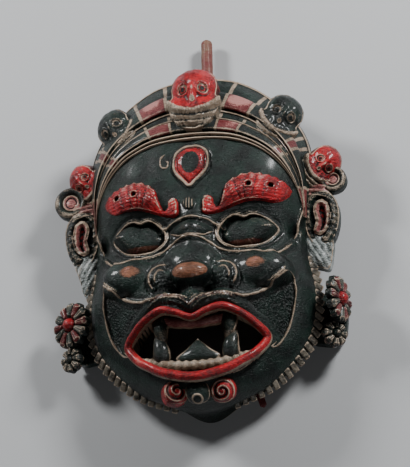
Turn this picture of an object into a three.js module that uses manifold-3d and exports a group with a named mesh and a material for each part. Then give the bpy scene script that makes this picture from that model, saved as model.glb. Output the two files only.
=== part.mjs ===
// A Tibetan cham mask: the carved and painted wooden face of a wrathful protector with a crown of
// five skulls, long ears with flower earrings, and a row of beard beads round the jaw.
// Millimetres. It lies on its back rim: +Z out of the face, +Y towards the crown.
import * as THREE from 'three';
import Module from 'manifold-3d';
import { ParametricGeometry } from 'three/addons/geometries/ParametricGeometry.js';
import { mergeGeometries, mergeVertices } from 'three/addons/utils/BufferGeometryUtils.js';

const wasm = await Module();
wasm.setup();
const { degToRad, lerp, clamp, smoothstep } = THREE.MathUtils;

// ---------------------------------------------------------------- driving dimensions
// The carver's zero is on the midline between the brows; the head's middle is a little below it.
const HEAD_MIDDLE_Y = -20;
// Radii and heights of the back of the head every 15 degrees, from under the chin up to the crown.
const HEAD_RADII = [194, 186, 177, 165.5, 144.5, 123.5, 117, 124, 144, 166, 180, 190, 192];
const EDGE_HEIGHTS = [32, 30, 29, 31, 34, 37, 38, 36, 34, 34, 38, 44, 46];
const CROWN_RADII = [108, 108, 108, 108, 108, 109, 113, 117.5, 120.3, 119.5, 115.5, 110.5, 108];
const FACE_TOP = 98; // height of the plain dome of the face over the back rim
const SIDE_INSET = 2; // the side wall stands this far in from the edge
const JAW_INSET = 11; // and this far under the beard, but not right under the chin
const WALL = 13;
const GAP = 0.3; // between pieces that touch
const HEAD_RINGS = 9;
const HOLLOW_RINGS = 4;

const EYE = { x: 57, y: -29, width: 22, height: 14, depth: 11, lid: 3.6 };
const THIRD_EYE = { y: 43, width: 13, height: 19, depth: 9, lid: 3.6 };
const NOSE = { y: -81, z: 106, width: 21, height: 16, depth: 21 };
const TEETH_HEIGHT = 76;
const FRINGE = { from: -14, to: -82, beads: 18, radius: 5.8, notch: 3.4 };
const SKULLS = [
  { x: 4, y: 138, z: 84, size: 1.08, tilt: 0, turn: 0, lean: 12, fine: true },
  { x: -89, y: 114, z: 62, size: 0.88, tilt: 34, turn: -20, lean: 14 },
  { x: 96, y: 112, z: 62, size: 0.88, tilt: -34, turn: 20, lean: 14 },
  { x: -129, y: 65, z: 42, size: 0.72, tilt: 52, turn: -28, lean: 8 },
  { x: 137, y: 61, z: 42, size: 0.72, tilt: -52, turn: 28, lean: 8 },
];
const EAR = { x: 131, y: -4, z: 46, width: 15, height: 27, roll: 4.2 };
const RIBBON = { x: 146, y: 41, z: 42, band: 4.5, radius: { left: 14, right: 10.5 } };
// The right flower is twisted outward on its post, the others look out of the face.
const FLOWER = { z: 44, radius: 25, petals: 12, boss: 8,
  left: { x: -146, y: -103, turn: -32 }, right: { x: 150, y: -99, turn: 74 } };
const BUD = { z: 36, radius: 14, petals: 8, boss: 5,
  left: { x: -147, y: -140, turn: -32 }, right: { x: 142.5, y: -135, turn: 38 } };
const CARRIER = { z: 7, thick: 11, outline: [[108, -80], [134, -82], [150, -90], [154, -104],
  [152, -128], [146, -138], [134, -141], [118, -138], [104, -126]] };
const PEG = { x: 4, z: 13, radius: 6.5, top: 237, bottom: 160 };
const DOWEL = { angle: -72, z: 14, radius: 4.2, length: 28, sunk: 8 };

// ---------------------------------------------------------------- solids
function solid(geometry) {
  const shape = geometry.clone();
  shape.deleteAttribute('normal');
  shape.deleteAttribute('uv');
  const merged = mergeVertices(shape, 1e-3);
  const corners = merged.index.array;
  const triangles = [];
  for (let i = 0; i < corners.length; i += 3) {
    const [a, b, c] = [corners[i], corners[i + 1], corners[i + 2]];
    if (a !== b && b !== c && c !== a) triangles.push(a, b, c);
  }
  const build = order => new wasm.Manifold(new wasm.Mesh({
    numProp: 3,
    vertProperties: new Float32Array(merged.attributes.position.array),
    triVerts: new Uint32Array(order),
  }));
  const made = build(triangles);
  return made.volume() > 0 ? made : build(triangles.reverse());
}

const join = parts => parts.reduce((whole, part) => whole.add(part));
const both = make => [make(1), make(-1)];

function mesh(name, body, color, roughness = 0.4) {
  const { vertProperties, triVerts } = body.getMesh();
  const geometry = new THREE.BufferGeometry();
  geometry.setAttribute('position', new THREE.BufferAttribute(vertProperties, 3));
  geometry.setIndex(new THREE.BufferAttribute(triVerts, 1));
  const made = new THREE.Mesh(geometry, new THREE.MeshStandardMaterial({ color, roughness }));
  made.name = name;
  return made;
}

function ball([x, y, z], [rx, ry, rz], sides = 10, rings = 6) {
  const geometry = new THREE.SphereGeometry(1, sides, rings);
  return solid(geometry.rotateX(Math.PI / 2).scale(rx, ry, rz).translate(x, y, z));
}

// A rope of wood along points [x, y, z, half width, half height]: lips, lids, curls, teeth.
// An open rope closes to a point at both ends.
function rope(points, { closed = false, steps = 10, sides = 5 } = {}) {
  const curve = pick => new THREE.CatmullRomCurve3(points.map(pick), closed);
  const line = curve(([x, y, z]) => new THREE.Vector3(x, y, z));
  const sizes = curve(([, , , wide, high]) => new THREE.Vector3(wide, high, 0));
  const up = new THREE.Vector3(0, 0, 1);
  return solid(new ParametricGeometry((along, v, target) => {
    const u = closed ? along % 1 : along;
    target.copy(line.getPoint(u));
    if (!closed && (u === 0 || u === 1)) return;
    const ahead = line.getTangent(u);
    const across = new THREE.Vector3().crossVectors(ahead, up).normalize();
    const lift = new THREE.Vector3().crossVectors(across, ahead).normalize();
    const size = sizes.getPoint(u);
    const turn = 2 * Math.PI * v;
    target.addScaledVector(across, size.x * Math.cos(turn));
    target.addScaledVector(lift, size.y * Math.sin(turn));
  }, steps, sides));
}

// ---------------------------------------------------------------- the head's form
// A list's value at an angle, smooth between entries in equal steps from -90 to +90 degrees.
function around(list, angle) {
  const last = list.length - 1;
  const place = (angle / Math.PI + 0.5) * last;
  const first = clamp(Math.floor(place), 0, last - 1);
  const t = place - first;
  const at = i => list[i < 0 ? -i : i > last ? 2 * last - i : i];
  const [a, b, c, d] = [at(first - 1), at(first), at(first + 1), at(first + 2)];
  return b + 0.5 * t * (c - a + t * (2 * a - 5 * b + 4 * c - d + t * (3 * (b - c) + d - a)));
}

const bump = (x, y, cx, cy, wide, high) => Math.exp(-(((x - cx) / wide) ** 2) - ((y - cy) / high) ** 2);
const riseOf = angle => Math.asin(clamp(Math.sin(angle), -1, 1));
const headRadius = rise => around(HEAD_RADII, rise);
const headInset = rise => lerp(SIDE_INSET, JAW_INSET,
  smoothstep(-rise, 0.6, 1) - smoothstep(-rise, 1.36, 1.57));
const onHead = (angle, reach) => [reach * Math.cos(angle), HEAD_MIDDLE_Y + reach * Math.sin(angle)];

// The plain dome: flat on top, steep at the edge.
function domeHeight(share, rise, top) {
  const edge = around(EDGE_HEIGHTS, rise);
  return edge + (top - edge) * Math.max(0, 1 - share ** 2.6) ** 0.65;
}

// The face's broad forms over the dome: brow, sockets, cheeks, muzzle and chin.
function faceHeight(x, y) {
  const side = Math.abs(x);
  const rise = Math.atan2(y - HEAD_MIDDLE_Y, side);
  const share = Math.min(1, Math.hypot(side, y - HEAD_MIDDLE_Y) / headRadius(rise));
  return domeHeight(share, rise, FACE_TOP)
    + 13 * bump(side, y, 0, -30, 17, 40)
    + 9 * bump(side, y, 62, 14, 42, 18)
    - 15 * bump(side, y, 58, -30, 31, 18)
    + 8 * bump(side, y, 66, -76, 26, 20)
    + 22 * bump(side, y, 0, -112, 56, 26)
    - 7 * bump(side, y, 92, -116, 16, 30)
    + 26 * bump(side, y, 0, -190, 54, 24);
}

// Rope points on the face: [x, y, height over the face, half width, half height].
const over = (side, points) => points.map(([x, y, lift, wide, high]) =>
  [side * x, y, faceHeight(x, y) + lift, wide, high]);

// A closed dome standing on z = 0: a disc of square rings, a side wall and a flat underside.
function domedBody(rings, radius, inset, heightAt) {
  const foot = rise => radius(rise) - inset(rise);
  const top = new ParametricGeometry((u, v, target) => {
    const [s, t] = [2 * u - 1, 2 * v - 1];
    const ring = Math.max(Math.abs(s), Math.abs(t));
    const upright = Math.abs(t) >= Math.abs(s);
    const turn = ring === 0 ? 0 : (upright ? -s / t : t / s) * Math.PI / 4;
    const quarter = upright ? (t > 0 ? 0.5 : 1.5) : (s > 0 ? 0 : 1);
    const angle = quarter * Math.PI + turn;
    const [x, y] = onHead(angle, ring * radius(riseOf(angle)));
    target.set(x, y, heightAt(x, y, ring));
  }, 2 * rings, 2 * rings);
  const wall = new ParametricGeometry((u, v, target) => {
    const angle = Math.round(u * 8 * rings) * Math.PI / (4 * rings);
    const rise = riseOf(angle);
    const edge = heightAt(...onHead(angle, radius(rise)), 1);
    const [x, y] = onHead(angle, v === 1 ? radius(rise) : foot(rise));
    target.set(x, y, [0, edge - inset(rise) - 3, edge][Math.round(2 * v)]);
  }, 8 * rings, 2);
  const under = new ParametricGeometry((u, v, target) => {
    const angle = Math.round(u * 8 * rings) * Math.PI / (4 * rings);
    const [x, y] = onHead(angle, v * foot(riseOf(angle)));
    target.set(x, y, 0);
  }, 8 * rings, 1);
  return solid(mergeGeometries([top, wall, under]));
}

const head = () => domedBody(HEAD_RINGS, headRadius, headInset, faceHeight);

// The hollow follows the plain dome, a wall's thickness inside, and stays clear of the sockets.
function hollow() {
  const radius = rise => headRadius(rise) - headInset(rise) - WALL;
  const height = (x, y, ring) => domeHeight(ring, Math.atan2(y - HEAD_MIDDLE_Y, Math.abs(x)), FACE_TOP)
    - WALL - 3 - 16 * bump(Math.abs(x), y, 60, -30, 36, 26) - 6 * bump(Math.abs(x), y, 92, -116, 20, 30);
  return domedBody(HOLLOW_RINGS, radius, () => 0, height).translate(0, 0, -0.5);
}

// The crown's steps across its width, from the brow edge to the back: [share, height over the head].
const CROWN_STEPS = [[-0.05, -7], [-0.05, 5], [0.04, 8], [0.19, 9], [0.24, 3], [0.36, 3], [0.41, 9],
  [0.66, 8.5], [0.72, 2], [0.97, 1.5], [0.97, -7]];
const CROWN_END = degToRad(8);

function crown() {
  const count = CROWN_STEPS.length;
  return solid(new ParametricGeometry((u, v, target) => {
    const angle = lerp(CROWN_END, Math.PI - CROWN_END, u);
    const rise = riseOf(angle);
    const step = u === 0 || u === 1 ? 0 : Math.round(v * count) % count;
    const [share, height] = CROWN_STEPS[step];
    const [x, y] = onHead(angle, lerp(around(CROWN_RADII, rise), headRadius(rise), share));
    target.set(x, y, faceHeight(x, y) + height);
  }, 14, count));
}

// ---------------------------------------------------------------- carving on the face
const mirrored = points => points.map(([x, ...rest]) => [-x, ...rest]).reverse();

function brow(side) {
  const mass = over(side, [[8, -7, 2, 0, 0], [20, -7, 6, 12, 7], [34, 1, 5, 13, 7], [48, 11, 5, 15, 7],
    [61, 16, 5, 17, 7], [76, 18, 5, 17, 7], [92, 20, 5, 13, 6], [104, 27, 3, 0, 0]]);
  const flames = [[38, 10, 44, 27], [56, 20, 62, 36], [76, 24, 84, 39]];
  return join([rope(mass, { steps: 7, sides: 4 }), ...flames.map(([x, y, tipX, tipY]) =>
    rope(over(side, [[x, y, 4, 0, 0], [(x + tipX) / 2, (y + tipY) / 2, 6, 7, 5], [tipX, tipY, 3, 0, 0]]),
      { steps: 3, sides: 3 }))]);
}

function eye(side) {
  const lids = over(side, [[87, -22, 2], [76, -12, 3], [57, -11, 7], [41, -15, 6], [28, -33, -1],
    [42, -46, 3], [58, -47, 5], [76, -40, 3]].map(point => [...point, EYE.lid, EYE.lid]));
  const { x, y, width, height, depth } = EYE;
  return rope(lids, { closed: true, steps: 10, sides: 4 })
    .add(ball([side * x, y, faceHeight(x, y) + 1], [width, height, depth], 8, 4));
}

function thirdEye() {
  const { y, width, height, depth, lid } = THIRD_EYE;
  const half = [[15, 64, 1, lid, lid], [21, 48, 1, lid, lid], [13, 28, 1, lid, lid]];
  const rim = over(1, [[0, 69, 1, lid, lid], ...half, [0, 16, 2, lid, lid], ...mirrored(half)]);
  return rope(rim, { closed: true, steps: 10, sides: 4 })
    .add(ball([0, y, faceHeight(0, y) - 3], [width, height, depth], 8, 4));
}

function nose() {
  const { y, z, width, height, depth } = NOSE;
  const tip = ball([0, y, z], [width, height, depth], 9, 5);
  const wings = both(side => ball([side * 33, -83, 96], [17, 13, 13], 7, 4));
  const knob = ball([0, 0, faceHeight(0, 0) + 2], [8, 7, 6], 6, 3);
  return join([tip, ...wings, knob]);
}

// The fold that runs from the nose round the cheek to the mouth's corner.
function cheekFold(side) {
  const fold = over(side, [[46, -106, 0, 0, 0], [70, -101, 1, 4, 3], [88, -90, 2, 4, 3],
    [101, -79, 2, 3.5, 3], [104, -96, 1, 3.5, 3], [101, -114, 1, 3.5, 3], [95, -131, 1, 3.5, 3],
    [84, -147, 0, 0, 0]]);
  return rope(fold, { steps: 9, sides: 3 });
}

// The lips' crest: [x, y, z, half width, half height], from the dip round one side to the bottom.
const LIP_CREST = [[0, -128.5, 104, 4, 7], [16, -122.5, 105, 4.5, 8], [33, -118, 102, 5, 8],
  [51, -124, 93, 5, 8], [65, -133.5, 82, 5, 8], [75, -146, 71, 5, 7], [64, -162.5, 75, 5, 8],
  [50, -173, 82, 5.5, 8], [32, -183, 87, 5.5, 8], [0, -190, 90, 5.5, 8]];
const LIP_RING = [...LIP_CREST, ...mirrored(LIP_CREST.slice(1, -1))];

const lips = () => rope(LIP_RING, { closed: true, steps: 22, sides: 4 });

// The mouth is open right through the wood, inside the lips.
function mouthHole() {
  const outline = new THREE.Shape(LIP_RING.map(([x, y]) => new THREE.Vector2(x, y)));
  return solid(new THREE.ExtrudeGeometry(outline, { depth: 2 * FACE_TOP, bevelEnabled: false }));
}

function teeth() {
  const z = TEETH_HEIGHT;
  const gum = [[-50, -124, z, 0, 0], [-38, -122, z, 8, 10], [0, -125, z, 6, 10], [38, -122, z, 8, 10],
    [50, -124, z, 0, 0]];
  const ledge = [[-66, -158, z - 8, 0, 0], [-48, -170, z - 4, 9, 10], [0, -178, z, 14, 12],
    [48, -170, z - 4, 9, 10], [66, -158, z - 8, 0, 0]];
  const tongue = [[0, -178, z - 2, 0, 0], [0, -168, z - 2, 19, 8], [0, -157, z - 2, 11, 6],
    [0, -143, z - 2, 0, 0]];
  const upperFang = side => [[side * 38, -119, z, 0, 0], [side * 37, -130, z + 4, 8, 8],
    [side * 34, -143, z + 5, 4.5, 4.5], [side * 30, -155, z + 5, 0, 0]];
  const lowerFang = side => [[side * 40, -174, z, 0, 0], [side * 41, -164, z + 2, 8, 8],
    [side * 44, -150, z + 3, 5, 5], [side * 47, -136, z + 3, 0, 0]];
  return join([gum, ledge, tongue, ...both(upperFang), ...both(lowerFang)]
    .map(points => rope(points, { steps: 4, sides: 4 })));
}

function chin() {
  const curls = both(side => ball([side * 26, -199, 70], [13, 13, 13], 7, 5));
  return join([ball([0, -201, 70], [14, 14, 16], 8, 5), ...curls]);
}

// The beard is a row of beads, thick and thin by turns, down the edge of the jaw.
function beard(side) {
  const { from, to, beads, radius, notch } = FRINGE;
  const steps = 2 * beads;
  const points = [];
  for (let i = 0; i <= steps; i += 1) {
    const rise = degToRad(lerp(from, to, i / steps));
    const [x, y] = onHead(rise, headRadius(rise) + 1);
    const size = i % 2 ? radius : notch;
    points.push([side * x, y, around(EDGE_HEIGHTS, rise) - 1, size, size]);
  }
  return rope(points, { steps, sides: 4 });
}

// A skull's half width, from the top of the cranium down to the chin of its grinning jaw, and how far
// that level stands forward: [height, half width, front].
const SKULL_LEVELS = [[27, 0, 0], [22, 14, 12], [8, 23, 20], [-6, 24, 20], [-14, 28, 15], [-22, 24, 16],
  [-30, 20, 17], [-40, 16, 11], [-48, 0, 2]];

// It is about 75 mm tall at size 1 and looks along +Z, then is leant back, turned and tilted in place.
function skull({ x, y, z, size, tilt, turn, lean, fine }) {
  const sides = fine ? 10 : 8;
  const levels = fine ? SKULL_LEVELS : SKULL_LEVELS.filter((_, i) => i !== 1 && i !== 5);
  const head = solid(new ParametricGeometry((u, v, target) => {
    const [height, wide, front] = levels[Math.round(v * (levels.length - 1))];
    const angle = 2 * Math.PI * u;
    target.set(wide * Math.cos(angle), height, (Math.sin(angle) > 0 ? front : 14) * Math.sin(angle));
  }, sides, levels.length - 1));
  const eyes = both(side => ball([side * 10, -8, 15], [8, 8, 8], fine ? 7 : 5, fine ? 4 : 3));
  const grin = rope([[-26, -14, 6, 0, 0], [-15, -23, 15, 4, 5], [0, -29, 18, 4, 5], [15, -23, 15, 4, 5],
    [26, -14, 6, 0, 0]], { steps: fine ? 8 : 4, sides: 4 });
  return join([head, grin, ...eyes]).scale(size)
    .rotate([-lean, 0, 0]).rotate([0, turn, 0]).rotate([0, 0, tilt]).translate(x, y, z);
}

// ---------------------------------------------------------------- ears and earrings
// The ear with its rolled edge, the ribbon looped over it and the long lobe under it.
function ear(side) {
  const { x, y, z, width, height, roll } = EAR;
  const at = (dx, dy, dz, wide, high) => [side * (x + dx), y + dy, z + dz, wide, high];
  const shell = ball([side * x, y, z - 8], [width + 3, height + 2, 9], 8, 3);
  const helix = [[-9, -22], [-16, 6], [-6, 27], [8, 25], [16, 4], [6, -25]]
    .map(([dx, dy]) => at(dx, dy, 0, roll, roll));
  const lobe = [at(-2, -18, -5, 0, 0), at(-3, -32, -3, 13, 7), at(-4, -46, -2, 12, 8),
    at(-2, -58, -3, 9, 6), at(-1, -63, -4, 0, 0)];
  const { x: loopX, y: loopY, z: loopZ, band } = RIBBON;
  const radius = side > 0 ? RIBBON.radius.right : RIBBON.radius.left;
  const loop = [0, 60, 120, 180, 240, 300].map(degToRad).map(angle =>
    [side * (loopX + radius * Math.cos(angle)), loopY + radius * Math.sin(angle), loopZ, band, band]);
  const disc = ball([side * loopX, loopY, loopZ - 2], [radius, radius, 5], 8, 3);
  const tail = [[side * 140, 30, 38, 0, 0], [side * 130, 28, 40, 9, 8], [side * 118, 26, 40, 8, 8],
    [side * 106, 22, 40, 0, 0]];
  const rings = [helix, loop].map(points => rope(points, { closed: true, steps: 8, sides: 4 }));
  const flaps = [lobe, tail].map(points => rope(points, { steps: 4, sides: 4 }));
  return join([shell, disc, ...rings, ...flaps]);
}

// A flower plate with scalloped petals and a round boss, looking along +Z.
function blossom({ radius, petals, boss }, thick) {
  const section = [[0, -thick], [0.9, -thick], [1, 0], [0, 0.5 * thick]];
  const plate = solid(new ParametricGeometry((u, v, target) => {
    const angle = 2 * Math.PI * u;
    const [share, height] = section[Math.round(v * (section.length - 1))];
    const reach = radius * share * (share > 0.7 ? 1 + 0.08 * Math.cos(petals * angle) : 1);
    target.set(reach * Math.cos(angle), reach * Math.sin(angle), height);
  }, 2 * petals, section.length - 1));
  return plate.add(ball([0, 0, 0.3 * thick], [boss, boss, thick + 2], 8, 5));
}

// A carrier against the jaw's side wall, hidden behind them, holds the flower and the bud on posts.
function earring(side) {
  const outline = CARRIER.outline.map(([x, y]) => new THREE.Vector2(side * x, y));
  const extrusion = { depth: CARRIER.thick, bevelEnabled: false };
  const carrier = solid(new THREE.ExtrudeGeometry(new THREE.Shape(outline), extrusion))
    .translate(0, 0, CARRIER.z);
  const onPost = (form, thick) => {
    const { x, y, turn } = side > 0 ? form.right : form.left;
    const post = ball([x, y, (form.z + CARRIER.z) / 2], [7, 7, (form.z - CARRIER.z) / 2], 6, 4);
    return blossom(form, thick).rotate([0, turn, 0]).translate(x, y, form.z).add(post);
  };
  return join([carrier, onPost(FLOWER, 6), onPost(BUD, 5)]).subtract(sideWall);
}

// ---------------------------------------------------------------- pegs
function peg() {
  const { x, z, radius, top, bottom } = PEG;
  const profile = [[0, bottom], [0.8 * radius, bottom], [radius, bottom + 4], [radius, top - radius],
    [0.7 * radius, top - 2], [0, top]].map(([r, h]) => new THREE.Vector2(r, h));
  return solid(new THREE.LatheGeometry(profile, 10)).translate(x, 0, z);
}

function jawDowel(radius, length) {
  const rise = degToRad(DOWEL.angle);
  const [x, y] = onHead(rise, headRadius(rise) - JAW_INSET - DOWEL.sunk);
  const turned = new THREE.CylinderGeometry(0.9 * radius, radius, length, 8);
  return solid(turned.translate(0, length / 2, 0))
    .rotate([0, 0, DOWEL.angle - 90]).translate(x, y, DOWEL.z);
}

// ---------------------------------------------------------------- putting the mask together
// The biggest body of a join, without the tiny pockets that overlapping carvings can close in.
const whole = body => body.decompose().sort((a, b) => b.volume() - a.volume())[0];

// The earrings' carriers are cut to the head's side wall, a gap away from it.
const swell = 1 + 2 * GAP / Math.min(...HEAD_RADII);
const sideWall = head().translate(0, -HEAD_MIDDLE_Y, 0).scale([swell, swell, 1])
  .translate(0, HEAD_MIDDLE_Y, 0);
const plain = join([head(), crown(), nose(), thirdEye(), ...both(brow), ...both(eye), ...both(cheekFold),
  ...both(ear)]).subtract(hollow());
const open = plain.subtract(mouthHole());
const socket = solid(new THREE.CylinderGeometry(PEG.radius + GAP, PEG.radius + GAP, 80, 10))
  .translate(PEG.x, PEG.bottom + 30, PEG.z);
const carved = whole(join([open, lips(), teeth(), chin(), ...both(beard), ...SKULLS.map(skull)])
  .subtract(socket).subtract(jawDowel(DOWEL.radius + GAP, 60)));

const mask = new THREE.Group();
mask.add(mesh('mask_shell', carved, '#14201c'));
mask.add(mesh('earring_left', earring(-1), '#6b1a1a'));
mask.add(mesh('earring_right', earring(1), '#6b1a1a'));
mask.add(mesh('top_peg', peg(), '#8a6a58'));
mask.add(mesh('jaw_dowel', jawDowel(DOWEL.radius, DOWEL.length), '#7a4a48'));

// The frame's origin is under the middle of the whole mask, on the plane of the back rim.
const middle = new THREE.Box3().setFromObject(mask).getCenter(new THREE.Vector3());
mask.position.set(-middle.x, -middle.y, 0);

export default mask;
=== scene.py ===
# %% [markdown]
# # A Tibetan cham mask
#
# This is a carved and painted wooden dance mask: the dark green face of a wrathful protector with a
# crown of five skulls, an open mouth with fangs, long ears with flower earrings, and a beard of beads.
# It lies on its flat back rim, looking up. The carver's own zero is between the brows, and all sizes
# here are in millimetres from there, with +X across, +Y towards the crown and +Z out of the face.

# %% Load the frame
import math
import bpy
import numpy as np
from mathutils import Matrix, Vector


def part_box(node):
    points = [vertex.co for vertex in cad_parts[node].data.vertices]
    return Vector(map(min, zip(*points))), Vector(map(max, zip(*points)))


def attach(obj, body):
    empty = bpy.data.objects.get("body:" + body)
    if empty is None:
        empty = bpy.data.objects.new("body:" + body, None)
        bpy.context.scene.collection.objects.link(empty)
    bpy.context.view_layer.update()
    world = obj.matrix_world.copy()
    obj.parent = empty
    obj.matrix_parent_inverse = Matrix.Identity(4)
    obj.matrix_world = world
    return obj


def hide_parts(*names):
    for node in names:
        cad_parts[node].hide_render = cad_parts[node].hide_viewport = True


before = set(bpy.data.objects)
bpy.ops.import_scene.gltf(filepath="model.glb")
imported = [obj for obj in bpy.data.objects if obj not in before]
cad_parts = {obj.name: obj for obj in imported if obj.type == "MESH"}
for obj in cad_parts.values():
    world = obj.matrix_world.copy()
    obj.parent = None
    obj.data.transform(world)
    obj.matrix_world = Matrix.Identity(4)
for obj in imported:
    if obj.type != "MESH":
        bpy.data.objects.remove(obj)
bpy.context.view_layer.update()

# The top peg is the landmark between the carver's zero and the frame: its tip is 237 mm above the
# zero, and its middle 4 mm to the right.
PEG_TOP, PEG_X = 237.0, 4.0
peg_low, peg_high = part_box("top_peg")
ZERO = np.array([500 * (peg_low.x + peg_high.x) - PEG_X, 1000 * peg_high.y - PEG_TOP, 0.0])
print("carver's zero in the frame, mm:", ZERO.round(2))

# %% [markdown]
# ## The carver's tools
# Most of a mask is relief: ridges, rolls and hollows that follow drawn lines. So the tools here are
# smooth lines through a few points, the distance from a point to a line, and the depth inside an
# outline. A relief is then a height for each distance, as a gouge makes it.

# %% Lines and outlines
def smooth_line(points, closed=False, steps=8):
    """A smooth line through rows of numbers, as a dense table with the same columns."""
    p = np.array(points, float)
    if closed:
        p = np.vstack([p[-1:], p, p[:2]])
    else:
        p = np.vstack([2 * p[0] - p[1], p, 2 * p[-1] - p[-2]])
    t = np.linspace(0, 1, steps, endpoint=False)[:, None]
    runs = [b + 0.5 * t * (c - a + t * (2 * a - 5 * b + 4 * c - d + t * (3 * (b - c) + d - a)))
            for a, b, c, d in zip(p[:-3], p[1:-2], p[2:-1], p[3:])]
    return np.vstack(runs if closed else [*runs, p[-2:-1]])


def to_line(x, y, line, closed=False, reach=40.0):
    """Distance from each point to a line, and the line's further columns there."""
    ends = np.roll(line, -1, 0)
    starts, ends = (line, ends) if closed else (line[:-1], ends[:-1])
    distance = np.full(len(x), reach)
    values = np.zeros((len(x), line.shape[1] - 2))
    low, high = line[:, :2].min(0) - reach, line[:, :2].max(0) + reach
    near = np.flatnonzero((x > low[0]) & (x < high[0]) & (y > low[1]) & (y < high[1]))
    px, py, best, found = x[near], y[near], distance[near], values[near]
    for a, b in zip(starts, ends):
        dx, dy = b[0] - a[0], b[1] - a[1]
        t = np.clip(((px - a[0]) * dx + (py - a[1]) * dy) / max(dx * dx + dy * dy, 1e-9), 0, 1)
        off = np.hypot(px - a[0] - t * dx, py - a[1] - t * dy)
        closer = off < best
        best = np.where(closer, off, best)
        found[closer] = a[2:] + (b[2:] - a[2:]) * t[closer, None]
    distance[near], values[near] = best, found
    return distance, values


def depth_inside(x, y, outline, reach=40.0):
    """Distance in from a closed outline, negative outside it."""
    distance, _ = to_line(x, y, outline[:, :2], closed=True, reach=reach)
    within = np.zeros(len(x), bool)
    for (x0, y0), (x1, y1) in zip(outline[:, :2], np.roll(outline[:, :2], -1, 0)):
        if y0 != y1:
            within ^= ((y0 > y) != (y1 > y)) & (x < (x1 - x0) * (y - y0) / (y1 - y0) + x0)
    return np.where(within, distance, -distance)


def rise(low, high, value):
    """0 below low and 1 above high, smooth between."""
    t = np.clip((value - low) / (high - low), 0, 1)
    return t * t * (3 - 2 * t)


def bump(x, y, cx, cy, wide, high):
    return np.exp(-((x - cx) / wide) ** 2 - ((y - cy) / high) ** 2)


def roll_of(distance, half_width):
    """A round roll of wood: 1 on its crest, 0 at its sides."""
    return np.sqrt(np.clip(1 - (distance / half_width) ** 2, 0, 1))


def dome_of(x, y, cx, cy, wide, high):
    """A round dome: 1 in its middle, 0 at its edge."""
    return np.sqrt(np.clip(1 - ((x - cx) / wide) ** 2 - ((y - cy) / high) ** 2, 0, 1))


def ball_over(x, y, cx, cy, wide, high, base, top):
    """Height of a ball that stands from base up to top, falling away steeply beside it."""
    off = ((x - cx) / wide) ** 2 + ((y - cy) / high) ** 2
    return base + (top - base) * np.sqrt(np.clip(1 - off, 0, 1)) - 60 * np.maximum(0, off - 1)


def swelling(depth, width):
    """Swells from an outline inward: 0 at the edge, 1 from a width inside it on."""
    return np.sqrt(1 - (1 - np.clip(depth / width, 0, 1)) ** 2)


def merge(a, b, soft=2.0):
    """The higher of two forms, with a soft crease where they meet."""
    h = np.clip(0.5 + 0.5 * (a - b) / soft, 0, 1)
    return b + (a - b) * h + soft * h * (1 - h)


# %% [markdown]
# ## Blocks of wood
# Every carved part starts as a grid: its square is drawn out to the part's outline, the relief lifts
# its points, and its rim is extruded down and closed. This is the way of a carver, who saws the
# outline first and then cuts down from the front. Blender's own sculpt tools need a window, so the
# points are moved in code.

# %% Blocks
def work_on(piece):
    """Makes one piece the only selected and active one."""
    bpy.ops.object.select_all(action="DESELECT")
    piece.select_set(True)
    bpy.context.view_layer.objects.active = piece


def points_of(piece):
    co = np.empty(3 * len(piece.data.vertices))
    piece.data.vertices.foreach_get("co", co)
    return co.reshape(-1, 3)


def set_points(piece, co):
    piece.data.vertices.foreach_set("co", np.asarray(co, float).ravel())
    piece.data.update()


def note(piece, masks):
    """Notes paint masks on a piece's points, one value a point, for the materials to read."""
    for name, values in masks.items():
        layer = piece.data.attributes.get(name) or piece.data.attributes.new(name, "FLOAT", "POINT")
        layer.data.foreach_set("value", np.broadcast_to(values, len(piece.data.vertices)).astype(np.float32))


def noted(piece, name):
    """Reads one note back, a value a point."""
    values = np.empty(len(piece.data.vertices))
    piece.data.attributes[name].data.foreach_get("value", values)
    return values


def grid_block(name, cells):
    """A flat grid from -1 to +1, in the carver's millimetres, ready to be drawn out."""
    bpy.ops.object.select_all(action="DESELECT")
    bpy.ops.mesh.primitive_grid_add(x_subdivisions=cells, y_subdivisions=cells, size=2)
    piece = bpy.context.object
    piece.name = piece.data.name = name
    return piece


def disc_places(square):
    """Ring (0 to 1) and angle for each point of a square grid drawn out to a disc."""
    s, t = square[:, 0], square[:, 1]
    ring = np.maximum(abs(s), abs(t))
    upright = abs(t) >= abs(s)
    safe = np.where(ring > 0, ring, 1)
    part = np.where(upright, -s * np.sign(t), t * np.sign(s)) / safe * math.pi / 4
    quarter = np.where(upright, np.where(t > 0, 0.5, 1.5), np.where(s > 0, 0.0, 1.0)) * math.pi
    return ring, quarter + part


def pull_rim(piece, move):
    """Extrudes the open rim of a piece and moves the new points with move(points)."""
    work_on(piece)
    bpy.ops.object.mode_set(mode="EDIT")
    bpy.ops.mesh.select_mode(type="EDGE")
    bpy.ops.mesh.select_all(action="DESELECT")
    bpy.ops.mesh.select_non_manifold(use_wire=False, use_multi_face=False, use_non_contiguous=False,
                                     use_verts=False)
    bpy.ops.mesh.extrude_region_move(TRANSFORM_OT_translate={"value": (0, 0, 0)})
    bpy.ops.object.mode_set(mode="OBJECT")
    picked = np.empty(len(piece.data.vertices), bool)
    piece.data.vertices.foreach_get("select", picked)
    co = points_of(piece)
    co[picked] = move(co[picked])
    set_points(piece, co)


def close_rim(piece):
    """Fills the open rim with one face and turns all faces outward."""
    work_on(piece)
    bpy.ops.object.mode_set(mode="EDIT")
    bpy.ops.mesh.select_mode(type="EDGE")
    bpy.ops.mesh.select_all(action="DESELECT")
    bpy.ops.mesh.select_non_manifold(use_wire=False, use_multi_face=False, use_non_contiguous=False,
                                     use_verts=False)
    bpy.ops.mesh.edge_face_add()
    bpy.ops.mesh.select_all(action="SELECT")
    bpy.ops.mesh.normals_make_consistent(inside=False)
    bpy.ops.object.mode_set(mode="OBJECT")


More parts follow.
